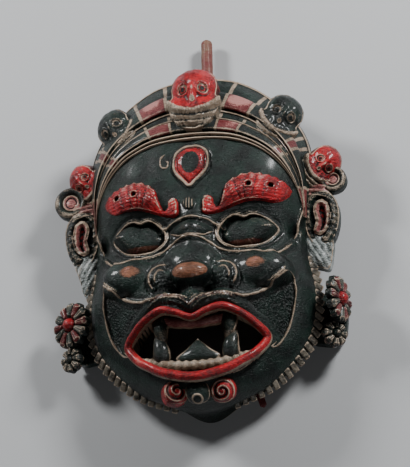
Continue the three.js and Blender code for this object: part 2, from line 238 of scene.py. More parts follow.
def carve_block(name, outline, relief, foot, cells=40, centre=None):
    """A block sawn to a closed outline, carved on top and standing on height foot, a number or a
    function of the rim's points. relief(x, y) gives the height and the paint masks."""
    piece = grid_block(name, cells)
    ring, angle = disc_places(points_of(piece))
    middle = outline[:, :2].mean(0) if centre is None else np.array(centre, float)
    away = outline[:, :2] - middle
    bearing = np.unwrap(np.arctan2(away[:, 1], away[:, 0]))
    if bearing[-1] < bearing[0]:
        bearing, away = bearing[::-1], away[::-1]
    reach = np.interp(np.mod(angle - bearing[0], 2 * math.pi), np.append(bearing - bearing[0], 2 * math.pi),
                      np.append(np.hypot(*away.T), math.hypot(*away[0])))
    x = middle[0] + ring * reach * np.cos(angle)
    y = middle[1] + ring * reach * np.sin(angle)
    z, masks = relief(x, y)
    set_points(piece, np.column_stack([x, y, z]))
    note(piece, masks)
    sink = foot if callable(foot) else lambda rim: np.full(len(rim), foot)
    pull_rim(piece, lambda rim: np.column_stack([rim[:, :2], sink(rim)]))
    close_rim(piece)
    return piece


def rope_mesh(name, line, closed=False, sides=12):
    """A rope of wood along a dense line [x, y, z, half width, half height], pointed at open ends."""
    count = len(line)
    bpy.ops.object.select_all(action="DESELECT")
    bpy.ops.mesh.primitive_cylinder_add(vertices=sides, radius=1, depth=1, end_fill_type="NOTHING")
    piece = bpy.context.object
    piece.name = piece.data.name = name
    around = np.arange(sides) * 2 * math.pi / sides
    ahead = np.gradient(line[:, :3], axis=0)
    if closed:
        ahead = np.roll(line[:, :3], -1, 0) - np.roll(line[:, :3], 1, 0)
    ahead /= np.maximum(np.linalg.norm(ahead, axis=1), 1e-9)[:, None]
    across = np.cross(ahead, [0, 0, 1.0])
    across /= np.maximum(np.linalg.norm(across, axis=1), 1e-9)[:, None]
    lift = np.cross(across, ahead)
    wide, high = line[:, 3], line[:, 4]
    points = (line[:, None, :3] + across[:, None] * (wide[:, None] * np.cos(around))[..., None]
              + lift[:, None] * (high[:, None] * np.sin(around))[..., None]).reshape(-1, 3)
    rows = count if closed else count - 1
    faces = [(r * sides + k, (r + 1) % count * sides + k, (r + 1) % count * sides + (k + 1) % sides,
              r * sides + (k + 1) % sides) for r in range(rows) for k in range(sides)]
    if not closed:
        faces += [tuple(range(sides)), tuple(reversed(range((count - 1) * sides, count * sides)))]
    piece.data.clear_geometry()
    piece.data.from_pydata(points.tolist(), [], faces)
    note(piece, {"side": np.tile(np.abs(np.cos(around)), count)})
    tidy_up(piece)
    return piece


def tidy_up(piece, merge_under=0.02):
    """Merges doubles and turns all faces outward."""
    work_on(piece)
    bpy.ops.object.mode_set(mode="EDIT")
    bpy.ops.mesh.select_all(action="SELECT")
    bpy.ops.mesh.remove_doubles(threshold=merge_under)
    bpy.ops.mesh.normals_make_consistent(inside=False)
    bpy.ops.object.mode_set(mode="OBJECT")


def joined(name, parts):
    """Joins pieces into one object."""
    work_on(parts[0])
    for part in parts[1:]:
        part.select_set(True)
    bpy.ops.object.join()
    piece = bpy.context.object
    piece.name = piece.data.name = name
    return piece


# %% [markdown]
# ## The head's form
# The back outline, the height of the edge and the inner edge of the crown are short tables of radii
# and heights every 15 degrees, from under the chin up to the crown, and the face is a dome with a few
# broad rises and hollows. These are the same forms as in the solids, so the carving sits on them.

# %% Form tables
HEAD_MIDDLE_Y = -20.0
HEAD_RADII = [194, 186, 177, 165.5, 144.5, 123.5, 117, 124, 144, 166, 180, 190, 192]
EDGE_HEIGHTS = [32, 30, 29, 31, 34, 37, 38, 36, 34, 34, 38, 44, 46]
CROWN_RADII = [108, 108, 108, 108, 108, 109, 113, 117.5, 120.3, 119.5, 115.5, 110.5, 108]
FACE_TOP = 98.0
SIDE_INSET, JAW_INSET, WALL = 2.0, 11.0, 13.0


def table_at(table, slope):
    """A table's smooth value at an angle from -90 to +90 degrees, in radians."""
    values = np.array(table, float)
    last = len(values) - 1
    place = (slope / math.pi + 0.5) * last
    first = np.clip(np.floor(place).astype(int), 0, last - 1)
    t = place - first
    at = lambda i: values[np.where(i < 0, -i, np.where(i > last, 2 * last - i, i))]
    a, b, c, d = (at(first + k) for k in (-1, 0, 1, 2))
    return b + 0.5 * t * (c - a + t * (2 * a - 5 * b + 4 * c - d + t * (3 * (b - c) + d - a)))


def slope_at(x, y):
    return np.arctan2(y - HEAD_MIDDLE_Y, abs(x))


def head_inset(slope):
    under_jaw = rise(0.6, 1.0, -slope) - rise(1.36, 1.57, -slope)
    return SIDE_INSET + (JAW_INSET - SIDE_INSET) * under_jaw


def dome_height(share, slope, top=FACE_TOP):
    edge = table_at(EDGE_HEIGHTS, slope)
    return edge + (top - edge) * np.maximum(0, 1 - share ** 2.6) ** 0.65


def face_height(x, y):
    side, slope = abs(x), slope_at(x, y)
    share = np.minimum(1, np.hypot(x, y - HEAD_MIDDLE_Y) / table_at(HEAD_RADII, slope))
    return (dome_height(share, slope)
            + 13 * bump(side, y, 0, -30, 17, 40) + 9 * bump(side, y, 62, 14, 42, 18)
            - 15 * bump(side, y, 58, -30, 31, 18) + 8 * bump(side, y, 66, -76, 26, 20)
            + 22 * bump(side, y, 0, -112, 56, 26) - 7 * bump(side, y, 92, -116, 16, 30)
            + 26 * bump(side, y, 0, -190, 54, 24))


def face_point(x, y):
    return float(face_height(np.array([float(x)]), np.array([float(y)]))[0])


# %% [markdown]
# ## The face's carving
# The features are drawn as lines and outlines on one half and mirrored, as a carver folds a paper
# pattern. A slow waver in the places keeps the two halves from being machine-true. Each feature
# changes the height, and notes in a mask where it is painted: red, pink, copper, brown, or rubbed; the
# rubbed mask also carries a painted highlight on each cheek, and the brown a painted sheen on the
# wrinkle over the bridge.

# %% Feature lines
EYE_OUTLINE = smooth_line([(90, -25), (84, -17), (74, -11), (64, -9.5), (56, -12), (47, -10.5), (38, -15),
                           (30, -24), (28, -33), (33, -41), (44, -46.5), (58, -47), (73, -43), (84, -34)],
                          closed=True, steps=5)
BROW_OUTLINE = smooth_line([(106, 20), (99, 29), (95, 29.5), (92, 33), (87, 32.5), (84, 35.5), (79, 34),
                            (75, 37), (70, 35), (65, 37), (60, 34), (55, 34.5), (51, 30), (46, 29),
                            (43, 25), (38, 20), (35, 10), (32, 2), (29, -2.5), (27, 0), (26, 6),
                            (21, 10.5), (15, 9), (12.5, 3), (12, -5), (13, -11), (20, -12.5), (31, -10),
                            (45, -4.5), (60, 0), (75, 1.5), (89, 1.5), (101, 9)], closed=True, steps=5)
THIRD_EYE_OUTLINE = smooth_line([(0, 73), (10, 71), (17, 63), (18.5, 51), (16, 41), (8, 31), (0, 23.5),
                                 (-8, 31), (-16, 41), (-18.5, 51), (-17, 63), (-10, 71)],
                                closed=True, steps=5)
WRINKLE_TOP = smooth_line([(-34, -24), (-26, -21), (-18, -17), (0, -15), (18, -17), (26, -21), (34, -24)])
POUCH_LINE = smooth_line([(0, -37), (12, -39), (20, -43), (33, -51), (50, -54), (66, -55), (78, -59),
                          (88, -55), (95, -49), (103, -40)])
WING_LINE = smooth_line([(27, -67), (34, -65.5), (42, -69), (47, -77), (47, -85), (43, -93)])
WING_INNER = smooth_line([(30, -74), (36, -74), (40, -80), (40, -87)])
FOLD_LINE = smooth_line([(44, -104), (54, -105), (66, -102), (76, -97), (86, -90), (94, -84), (101, -77)])
PANEL_OUTLINE = smooth_line([(101, -77), (104, -86), (105, -97), (103, -111), (99, -126), (92, -140),
                             (84, -150), (78, -152), (84, -144), (80, -134), (70, -125), (60, -116),
                             (52, -108), (54, -105), (66, -102), (76, -97), (86, -90)], closed=True, steps=5)
TEMPLE_LINE = smooth_line([(114, 30), (116, 10), (113, -6), (108, -22), (104, -34)])
LIP_OUTER = smooth_line([(0, -126), (15, -117), (34, -112), (49, -119), (63, -128), (76, -139), (80, -146),
                         (69, -163), (51, -177), (33, -189), (0, -196), (-33, -189), (-51, -177),
                         (-69, -163), (-80, -146), (-76, -139), (-63, -128), (-49, -119), (-34, -112),
                         (-15, -117)], closed=True, steps=5)


def waver(x, y):
    """The hand's slow unevenness, in mm."""
    return (x + 0.9 * np.sin(y / 27 + 1.3) + 0.5 * np.sin(x / 13 + y / 19),
            y + 0.8 * np.sin(x / 31 + 0.4) + 0.5 * np.sin(x / 17 - y / 11 + 2))


# %% Carve the face
def carve_face(x, y):
    """Height and paint masks of the carved face at each point."""
    z = face_height(x, y)
    masks = {name: np.zeros(len(x)) for name in ("red", "pink", "copper", "brown", "pale", "rub_and_highlight", "stipple")}
    x, y = waver(x, y)
    side = abs(x)

    def paint(name, amount):
        masks[name] = np.maximum(masks[name], amount)

    def ridge(line, half_width, height, groove=0.0):
        nonlocal z
        distance, _ = to_line(side, y, line, reach=12)
        z = z + height * roll_of(distance, half_width)
        z = z - groove * np.exp(-((distance - 2.0 * half_width) / 1.6) ** 2)

    # the third eye, upright on the forehead
    depth = depth_inside(x, y, THIRD_EYE_OUTLINE, reach=20)
    ball = face_point(0, 50) - 1.5 + 7 * swelling(depth - 2.5, 11)
    z = z - 1.0 * np.exp(-((depth + 2) / 1.6) ** 2) + 2.2 * roll_of(depth - 1.0, 2.2)
    z = np.where(depth > 2.5, ball, z)
    pupil = np.hypot(x / 9.5, (y - 52) / 13)
    paint("red", rise(0.8, 1.6, depth) * rise(0.95, 1.05, pupil))
    paint("rub_and_highlight", 0.35 * rise(0.8, 1.6, depth) * rise(0.95, 1.05, pupil))

    # the eyes: a full ball in each socket
    depth = depth_inside(side, y, EYE_OUTLINE, reach=20)
    ball = face_point(57, -29) + 15 * swelling(depth - 0.5, 14)
    z = np.where(depth > 0, np.maximum(z - 5 * rise(0, 1.5, depth), ball), z)
    z = z + 1.6 * roll_of(depth + 1.0, 2.0) - 1.0 * np.exp(-((depth + 4.2) / 1.8) ** 2)
    paint("brown", 0.8 * rise(0.8, 2.5, depth) * rise(-34, -42, y))

    # the knob between the brows, with upright strokes
    knob = dome_of(x, y, 0, 2, 7, 8)
    z = z + 4 * knob + 0.9 * np.sin(x * 1.9) * rise(0, 0.5, knob)
    # the wrinkle over the bridge, and the line that runs under the eyes
    roll = roll_of(np.hypot(x / 21, (y + 28) / 7), 1.0)
    z = z + 3.0 * roll - 1.2 * np.exp(-((roll_of(np.hypot(x / 25, (y + 28) / 10.5), 1.0) - 0.35) / 0.2) ** 2)
    # the brown on the wrinkle's crest is a painted sheen
    paint("brown", 0.4 * rise(0.5, 0.9, roll))
    ridge(WRINKLE_TOP, 1.8, 1.2, 0.8)
    ridge(POUCH_LINE, 2.2, 1.6, 1.2)

    # the nose: a bulging bridge, a copper tip and round wings with pale scrolls
    z = merge(z, ball_over(x, y, 0, -66, 34, 30, 84, 113), 5)
    z = merge(z, ball_over(side, y, 32, -82, 19, 16, 94, 108), 3)
    z = merge(z, ball_over(x, y, 0, -80, 22, 14.5, 103, 125), 4)
    ridge(WING_LINE, 1.8, 1.2, 1.4)
    ridge(WING_INNER, 1.4, 0.8, 0.8)
    paint("copper", rise(0.30, 0.55, dome_of(x, y, 0, -80, 21, 10)))
    z = z - 12 * bump(side, y, 14, -98, 9, 5)
    # the cheeks
    cheek = face_point(68, -72)
    z = merge(z, ball_over(side, y, 70, -73, 30, 21, cheek - 9, cheek + 7), 3)
    # each cheek's crown: a worn copper spot with a pale painted highlight at its middle
    paint("copper", 0.85 * bump(side, y, 68, -71, 13, 8))
    paint("rub_and_highlight", 0.45 * bump(side, y, 70, -68, 9, 6))
    # the fold round the cheek and the stippled panel behind it
    depth = depth_inside(side, y, PANEL_OUTLINE, reach=20)
    z = z - 3.4 * rise(0, 3, depth)
    paint("stipple", rise(1, 3, depth))
    ridge(FOLD_LINE, 2.2, 2.0, 0.8)
    # the fold over the upper lip
    depth = depth_inside(x, y, LIP_OUTER, reach=30)
    over_lip = rise(-132, -118, y) * rise(62, 40, side)
    z = z + 5 * over_lip * roll_of(depth + 7, 6.5) + over_lip * 0.8 * np.sin(depth * 1.5 + x / 9)
    paint("brown", 0.5 * over_lip * rise(4.5, 1.5, abs(depth + 8)))
    paint("pale", 0.42 * over_lip * rise(3.0, 0.8, abs(depth + 9.5 + 1.2 * np.sin(x / 6))))
    # the temple line down to the ears
    ridge(TEMPLE_LINE, 1.8, 1.4)
    # the dark pit before the ear
    z = z - 12 * bump(side, y, 104, -24, 5, 9)
    return z, masks


# %% [markdown]
# ## The head
# The head is one block: the carved face, a plain side wall down to the flat back rim, and a hollow
# cut out from behind with a wall of 13 mm. The face grid is drawn out to the head's outline and its
# rim is extruded down the side and closed. The hollow and the mouth are blocks of their own that a
# Boolean modifier takes away, as the gouge does.

# %% The head block
FACE_CELLS = 264
HOLLOW_CELLS = 72
CROWN_SHARE = 0.85


def reach_of(ring, slope):
    """Rings lie closer together on the face than under the crown, where another piece covers them."""
    edge = table_at(HEAD_RADII, slope)
    under_crown = rise(0.15, 0.5, slope)
    face_edge = edge * CROWN_SHARE + under_crown * (table_at(CROWN_RADII, slope) + 5 - edge * CROWN_SHARE)
    return np.where(ring < CROWN_SHARE, face_edge * ring / CROWN_SHARE,
                    face_edge + (edge - face_edge) * (ring - CROWN_SHARE) / (1 - CROWN_SHARE))


def cut_away(piece, tool):
    """Cuts a closed tool out of a closed piece and removes the tool."""
    work_on(piece)
    cut = piece.modifiers.new("cut", "BOOLEAN")
    cut.operation, cut.solver, cut.object = "DIFFERENCE", "MANIFOLD", tool
    bpy.ops.object.modifier_apply(modifier=cut.name)
    bpy.data.objects.remove(tool)


head = grid_block("head", FACE_CELLS)
ring, angle = disc_places(points_of(head))
slope = np.arcsin(np.clip(np.sin(angle), -1, 1))
reach = reach_of(ring, slope)
x, y = reach * np.cos(angle), HEAD_MIDDLE_Y + reach * np.sin(angle)
z, masks = carve_face(x, y)
set_points(head, np.column_stack([x, y, z]))
note(head, masks)


def wall_step(inset_share, height_share):
    """One step down the side wall: in by a share of the inset, at a share of the way to the rim."""
    def move(rim):
        slope = slope_at(rim[:, 0], rim[:, 1])
        angle = np.arctan2(rim[:, 1] - HEAD_MIDDLE_Y, rim[:, 0])
        inset = head_inset(slope)
        reach = table_at(HEAD_RADII, slope) - inset_share * inset
        edge = table_at(EDGE_HEIGHTS, slope)
        height = (edge - inset - 3) * (1 - height_share) if height_share >= 0 else edge - 1
        return np.column_stack([reach * np.cos(angle), HEAD_MIDDLE_Y + reach * np.sin(angle), height])
    return move


for step in ((0.25, -1), (1, 0), (1, 0.2), (1, 0.4), (1, 0.6), (1, 0.8), (1, 1)):
    pull_rim(head, wall_step(*step))
close_rim(head)

hollow = grid_block("hollow", HOLLOW_CELLS)
ring, angle = disc_places(points_of(hollow))
slope = np.arcsin(np.clip(np.sin(angle), -1, 1))
inner = table_at(HEAD_RADII, slope) - head_inset(slope) - WALL
x, y = ring * inner * np.cos(angle), HEAD_MIDDLE_Y + ring * inner * np.sin(angle)
side = abs(x)
gouge_marks = 0.5 * np.sin(x / 3.1 + 2 * np.sin(y / 23)) * np.sin(y / 7.3 + np.sin(x / 15))
z = (dome_height(ring, slope) - WALL - 3 - 16 * bump(side, y, 60, -30, 36, 26)
     - 6 * bump(side, y, 92, -116, 20, 30) + gouge_marks * rise(0, 0.1, 1 - ring))
set_points(hollow, np.column_stack([x, y, z]))
note(hollow, {"wood": 1.0})
pull_rim(hollow, lambda rim: rim * [1, 1, 0] - [0, 0, 1])
close_rim(hollow)
cut_away(head, hollow)
print("head:", len(head.data.polygons), "faces")

# %% [markdown]
# ## The mouth
# The mouth is sawn right through the wood. Its outline is the crest of the lips, and the lips are a
# thick rope of wood round it, highest under the nose and lowest at the corners. A rope follows the
# lips' line better than extruded faces would, because its width and height change all the way round.

# %% Mouth and lips
LIP_CREST = [(0, -128.5, 104, 4, 7), (16, -122.5, 105, 4, 8), (33, -118, 102, 4.6, 8), (51, -124, 93, 4.6, 8),
             (65, -133.5, 82, 4.6, 8), (75, -146, 71, 5, 7), (64, -162.5, 75, 5, 8), (50, -173, 82, 5, 8),
             (32, -183, 87, 5.4, 8), (0, -190, 90, 5.6, 8)]


def mirrored(points):
    return [(-row[0], *row[1:]) for row in points]


LIP_RING = smooth_line(LIP_CREST + mirrored(LIP_CREST[1:-1])[::-1], closed=True, steps=12)
saw = grid_block("saw", 24)
ring, angle = disc_places(points_of(saw))
bearing = np.unwrap(np.arctan2(LIP_RING[:, 1] + 155, LIP_RING[:, 0]))[::-1]
lip_reach = np.hypot(LIP_RING[:, 0], LIP_RING[:, 1] + 155)[::-1]
reach = np.interp(np.mod(angle - bearing[0], 2 * math.pi), np.append(bearing - bearing[0], 2 * math.pi),
                  np.append(lip_reach, lip_reach[0]))
set_points(saw, np.column_stack([ring * reach * np.cos(angle), -155 + ring * reach * np.sin(angle),
                                 np.full(len(ring), 150.0)]))
pull_rim(saw, lambda rim: rim * [1, 1, 0] - [0, 0, 5])
close_rim(saw)
cut_away(head, saw)
lips = rope_mesh("lips", LIP_RING, closed=True, sides=20)
lip_side = noted(lips, "side")
note(lips, {"red": 1.0, "pale": 0.75 * rise(0.78, 0.97, lip_side), "rub_and_highlight": 0.35 * rise(0.5, 0.0, lip_side)})
print("lips:", len(lips.data.polygons), "faces")

# %% [markdown]
# ## Teeth and tongue
# Behind the lips a gum bar holds two curved fangs, and the mouth's floor holds two more, the pointed
# tongue and a row of small teeth. They are ropes again, thick at the root and drawn out to a point.

# %% Teeth
def horn(name, points, sides=14, bumps=0.0, **masks):
    """A tooth, tongue or bar; bumps makes its girth rise and fall, masks are its paint."""
    line = smooth_line(points, steps=16 if bumps else 8)
    line[:, 3:] *= 1 + bumps * np.sin(np.arange(len(line)) * 1.1)[:, None]
    piece = rope_mesh(name, line, sides=sides)
    edges = rise(0.8, 0.98, noted(piece, "side"))
    note(piece, {"pale": 0.8 * edges, "pink": 0.0, "bone": 0.0, **masks})
    return piece


teeth = [horn("gum", [(-52, -120, 80, 0, 0), (-36, -124, 84, 5, 7), (0, -131, 91, 5, 6),
                      (36, -124, 84, 5, 7), (52, -120, 80, 0, 0)], bumps=0.05, pink=0.75),
         horn("ledge", [(-62, -158, 72, 0, 0), (-46, -167, 77, 5, 6), (-24, -173, 82, 5, 6),
                        (0, -175, 84, 5, 6), (24, -173, 82, 5, 6), (46, -167, 77, 5, 6),
                        (62, -158, 72, 0, 0)], bumps=0.13, bone=1.0),
         horn("floor", [(-64, -156, 66, 0, 0), (-44, -170, 70, 9, 8), (0, -180, 76, 12, 9),
                        (44, -170, 70, 9, 8), (64, -156, 66, 0, 0)]),
         horn("tongue", [(2, -174, 79, 0, 0), (2, -166, 80, 24, 6), (2, -156, 82, 12.5, 6),
                         (2, -145, 83, 0, 0)], sides=8)]
for side in (1, -1):
    teeth.append(horn("upper_fang", [(side * 37, -118, 80, 0, 0), (side * 37, -124, 85, 8.5, 8),
                                     (side * 37, -133, 87, 8.5, 8), (side * 34.5, -143, 85, 5, 5),
                                     (side * 31, -149, 84, 0, 0)]))
    teeth.append(horn("lower_fang", [(side * 38, -173, 76, 0, 0), (side * 37.5, -165, 79, 8.5, 8),
                                     (side * 37.5, -155, 82, 9, 8), (side * 40.5, -143, 82, 5.5, 5),
                                     (side * 44, -136, 80, 0, 0)]))
mouth_parts = joined("mouth_parts", teeth)
print("mouth_parts:", len(mouth_parts.data.polygons), "faces")

# %% [markdown]
# ## Brows
# The flaming brows are finer than the face's grid can show, so each is a block of its own, let into
# the wood. Locks of flame run across the band, and nail holes pierce it; they are sunk a little way
# and painted black inside as painted shade of the rest of their depth.

# %% Brows
BROW_BLOCK = smooth_line([(110, 20), (101, 35), (75, 42), (50, 39), (34, 28), (20, 15), (8, 10), (7, -12),
                          (20, -18), (45, -10), (75, -4), (103, 2)], closed=True, steps=6)
BROW_SPINE = smooth_line([(108, 18, 0), (90, 17, 18), (72, 16, 36), (55, 14, 53), (42, 6, 69), (30, -6, 85),
                          (14, -2, 101)], steps=6)
NAIL_HOLES = [(86, 19), (64, 18)]
LEFT_BROW_WIDTH = 0.96  # the left brow is a little narrower than the right


def brow_relief(x, y):
    depth = depth_inside(x, y, BROW_OUTLINE, reach=20)
    across, along = to_line(x, y, BROW_SPINE, reach=30)
    locks = np.abs(np.sin(along[:, 0] * 0.33 + (y - 14) * 0.09 + 0.4 * np.sin(along[:, 0] / 9)))
    z = face_height(x, y) - 2.5 + 7.5 * rise(-0.3, 2.2, depth) + 1.4 * rise(2, 10, depth) \
        + 1.5 * locks * rise(0.5, 3.5, depth) * rise(-2, 8, y) \
        + 0.35 * np.sin(across * 1.7) * rise(1, 3, depth)
    # the nail holes are sunk 6 mm and painted black inside: painted shade
    hole_shade = np.zeros(len(x))
    for hole_x, hole_y in NAIL_HOLES:
        off = np.hypot(x - hole_x, y - hole_y)
        z = z - 6 * rise(3.4, 1.6, off) + 0.8 * np.exp(-((off - 4.4) / 1.0) ** 2)
        hole_shade = np.maximum(hole_shade, rise(3.2, 2.0, off))
    return z, {"red": rise(-0.4, 0.6, depth) * (1 - hole_shade), "dark": hole_shade,
               "rub_and_highlight": 0.62 * bump(x, y, 72, 28, 26, 8) * (0.4 + 0.6 * locks)}


def sunk(rim):
    """A block's foot, under the face's surface but inside its wall."""
    return face_height(rim[:, 0], rim[:, 1]) - 6


brows = [carve_block(f"brow_{number}", BROW_BLOCK, brow_relief, sunk, cells=120, centre=(58, 14))
         for number in range(2)]
brows[1].data.transform(Matrix.Diagonal((-LEFT_BROW_WIDTH, 1, 1, 1)))
brows[1].data.flip_normals()
print("brows:", sum(len(brow.data.polygons) for brow in brows), "faces")

# %% [markdown]
# ## Fillets
# Thin pale lines edge the eyes, the folds and the cheeks, where the ground shows on a carved thread of
# wood. A thread this thin is a rope laid on the finished face, with a hand's unevenness in its width.

# %% Fillets
def unwavered(line):
    """Where a line is drawn, so that the waver brings it to its place."""
    drawn = line[:, :2].copy()
    for _ in range(4):
        drawn += line[:, :2] - np.column_stack(waver(drawn[:, 0], drawn[:, 1]))
    return drawn


def fillet(line, half_width, closed=False):
    drawn = unwavered(line)
    z, _ = carve_face(drawn[:, 0], drawn[:, 1])
    place = np.arange(len(line))
    width = half_width * (1 + 0.22 * np.sin(place * 0.9 + line[0, 0]) + 0.15 * np.sin(place * 0.37))
    if not closed:
        width = width * np.minimum(1, np.minimum(place, place[::-1]) / 4)
    return rope_mesh("fillet", np.column_stack([drawn, z, width, width * 1.1]), closed=closed, sides=8)


threads = [fillet(THIRD_EYE_OUTLINE, 1.3, closed=True)]
for flip in ([1, 1], [-1, 1]):
    threads.append(fillet(EYE_OUTLINE * flip, 1.15, closed=True))
    for line, half_width in ((WING_LINE, 1.15), (WING_INNER, 0.8), (FOLD_LINE, 1.5), (TEMPLE_LINE, 1.1),
                             (PANEL_OUTLINE[:40], 1.0)):
        threads.append(fillet(line * flip, half_width))
threads.append(fillet(np.vstack([(POUCH_LINE * [-1, 1])[:0:-1], POUCH_LINE]), 1.2))
threads.append(fillet(WRINKLE_TOP, 1.0))
threads.append(fillet(smooth_line([(-24, -28), (-14, -34), (0, -36), (14, -34), (24, -28)]), 0.9))
threads.append(fillet(smooth_line([(-29, 66), (-34, 60), (-33, 51), (-27, 49), (-25, 55), (-28, 58)]), 0.9))
fillets = joined("fillets", threads)
note(fillets, {"pale": 0.82})
print("fillets:", len(fillets.data.polygons), "faces")

# %% [markdown]
# ## The crown
# The crown is a band of mouldings round the forehead: a double pale fillet at the brow, two painted
# bands with a grooved fillet between them, and a plain cap behind. It is one profile swept round the
# head, so its rows of faces follow the edges and the paint can change exactly on them.

# %% Crown
# Each row of the profile: share of the crown's width, height over the head, and what it is painted.
CROWN_PROFILE = [(-0.085, -7, "green"), (-0.085, 2.0, "pale"), (-0.076, 3.2, "pale"), (-0.062, 3.2, "pale"),
                 (-0.052, 1.4, "green"), (-0.043, 1.0, "green"), (-0.036, 4.6, "pale"), (-0.026, 6.0, "pale"),
                 (-0.010, 6.0, "pale"), (0.000, 4.4, "green"), (0.008, 2.2, "green"), (0.022, 2.2, "green"),
                 (0.030, 7.0, "pink"), (0.045, 8.2, "pink"), (0.080, 8.8, "pink"), (0.115, 9.0, "pink"),
                 (0.150, 8.8, "pink"), (0.182, 8.4, "pink"), (0.196, 7.0, "pink"), (0.203, 3.2, "green"),
                 (0.214, 3.0, "green"), (0.222, 4.6, "pale"), (0.236, 4.8, "pale"), (0.246, 3.2, "green"),
                 (0.290, 3.4, "green"), (0.335, 3.2, "green"), (0.343, 4.8, "pale"), (0.360, 5.0, "pale"),
                 (0.370, 2.8, "green"), (0.395, 2.6, "green"), (0.404, 8.0, "pink"), (0.420, 9.2, "pink"),
                 (0.470, 9.5, "pink"), (0.530, 9.5, "pink"), (0.590, 9.2, "pink"), (0.640, 8.8, "pink"),
                 (0.660, 7.6, "pink"), (0.672, 2.6, "green"), (0.700, 2.0, "green"), (0.760, 2.4, "green"),
                 (0.840, 2.4, "green"), (0.920, 2.2, "green"), (0.932, 3.4, "pale"), (0.955, 4.0, "pale"),
                 (0.975, 3.0, "pale"), (0.985, -7, "green")]
CROWN_END = math.radians(8)
CROWN_ROWS = 420
# The bearing of each skull on the crown and half the angle its frame takes up, in degrees.
SKULL_FRAMES = [(88.5, 12.5), (123.6, 10.5), (54, 10.5), (146.6, 8.5), (30.6, 8.5)]
crown = grid_block("crown", 2)
profile = np.array([row[:2] for row in CROWN_PROFILE])
count = len(profile)
angle = np.linspace(CROWN_END, math.pi - CROWN_END, CROWN_ROWS)
slope = np.arcsin(np.sin(angle))
inner, outer = table_at(CROWN_RADII, slope), table_at(HEAD_RADII, slope)
reach = inner[:, None] + (outer - inner)[:, None] * profile[None, :, 0]
x = (reach * np.cos(angle)[:, None]).ravel()
y = (HEAD_MIDDLE_Y + reach * np.sin(angle)[:, None]).ravel()
fade = np.minimum(1, 0.35 + (outer - inner) / 60)[:, None]
height = profile[None, :, 1] * np.where(profile[None, :, 1] > 0, fade, 1)
z = face_height(x, y) + height.ravel() + 0.35 * np.sin(x / 7 + 1.7 * np.sin(y / 11))
faces = [(r * count + k, (r + 1) * count + k, (r + 1) * count + (k + 1) % count, r * count + (k + 1) % count)
         for r in range(CROWN_ROWS - 1) for k in range(count)]
faces += [tuple(range(count)), tuple(reversed(range((CROWN_ROWS - 1) * count, CROWN_ROWS * count)))]
crown.data.clear_geometry()
crown.data.from_pydata(np.column_stack([x, y, z]).tolist(), [], faces)
painted = np.array([row[2] for row in CROWN_PROFILE])
pink = np.tile(painted == "pink", CROWN_ROWS).astype(float)
pale = np.tile(np.where(painted == "pale", 0.85, 0.0), CROWN_ROWS)
frame_edge = np.min([abs(np.degrees(np.repeat(angle, count)) - seat) - half_angle
                     for seat, half_angle in SKULL_FRAMES], axis=0)
pink = pink * rise(0.5, 0.9, frame_edge)
pale = np.maximum(pale, 0.8 * rise(1.0, 0.4, abs(frame_edge)) * (np.tile(profile[:, 0] > 0.02, CROWN_ROWS)))
note(crown, {"band": pink, "pale": pale,
             "rub_and_highlight": pink * (0.9 * bump(x, y, 52, 128, 16, 12) + 0.7 * bump(x, y, -47, 132, 15, 10)
                            + 0.5 * bump(x, y, 45, 95, 22, 8))})
tidy_up(crown)
print("crown:", len(crown.data.polygons), "faces")

# %% [markdown]
# ## Five skulls
# A skull is a block sawn to a cranium over a wide grinning jaw. It is carved once in its own place,
# then leant back, turned and tilted to its seat on the crown.

# %% Skulls
SKULL_OUTLINE = smooth_line([(0, 27), (12, 24), (21, 15), (24, 4), (23, -7), (28, -13), (26, -22), (22, -32),
                             (13, -43), (0, -47), (-13, -43), (-22, -32), (-26, -22), (-28, -13), (-23, -7),
                             (-24, 4), (-21, 15), (-12, 24)], closed=True, steps=6)
GRIN_LINE = smooth_line([(27, -12), (22, -19), (13, -25), (0, -28), (-13, -25), (-22, -19), (-27, -12)])
SKULL_CELLS = 56
# Each skull's place, its size, tilt, turn and lean.
SEATS = [(4, 138, 84, 1.08, 0, 0, 12), (-89, 114, 62, 0.88, 34, -20, 14), (96, 112, 62, 0.88, -34, 20, 14),
         (-129, 65, 42, 0.72, 52, -28, 8), (137, 61, 42, 0.72, -52, 28, 8)]


def skull_relief(x, y):
    depth = depth_inside(x, y, SKULL_OUTLINE, reach=30)
    side = abs(x)
    z = 16 * np.sqrt(rise(-9, 14, depth)) - 3
    z = merge(z, ball_over(x, y, 0, 4, 24, 23, 0, 20), 2)
    z = z - 4 * bump(side, y, 10, -5, 6, 6)
    eye = np.hypot(side - 10, y + 4)
    z = z + 1.8 * roll_of(eye - 5.6, 1.4) + 2.2 * roll_of(eye, 3.6)
    nose = np.hypot(x, y + 16)
    z = z + 3 * bump(x, y, 0, -10, 4, 8) + 1.4 * roll_of(nose - 2.8, 1.2)
    grin, _ = to_line(x, y, GRIN_LINE, reach=30)
    under = rise(0, 3, -13 - y - 14 * (1 - (side / 27) ** 2).clip(0))
    wrinkles = np.sin(grin * 1.15 - 1.2) * rise(1.5, 3, grin) * rise(-3, 2, depth) * under
    z = z + 2.4 * roll_of(grin, 2.2) + 1.5 * wrinkles + 0.5 * np.sin(x * 2.1) * rise(2.5, 1, grin)
    z = z - 2.0 * np.exp(-((grin - 3.6) / 1.0) ** 2) * under
    z = z + 0.6 * np.sin(x / 2.3 + y / 3.1) * np.sin(y / 2.7 - x / 4)
    rings = [0.9 * rise(1.3, 0.5, abs(eye - 3.9)), 0.9 * rise(1.2, 0.4, nose - 2.2),
             0.8 * rise(2.0, 1.0, grin)]
    return z, {"red": (1 - under) * rise(-1, 1, depth),
               "bone": under * (0.45 + 0.55 * rise(-0.3, 0.5, wrinkles)),
               "pale": np.maximum.reduce(rings),
               "dark": rise(2.4, 1.8, eye), "rub_and_highlight": 0.25 * (1 - under)}


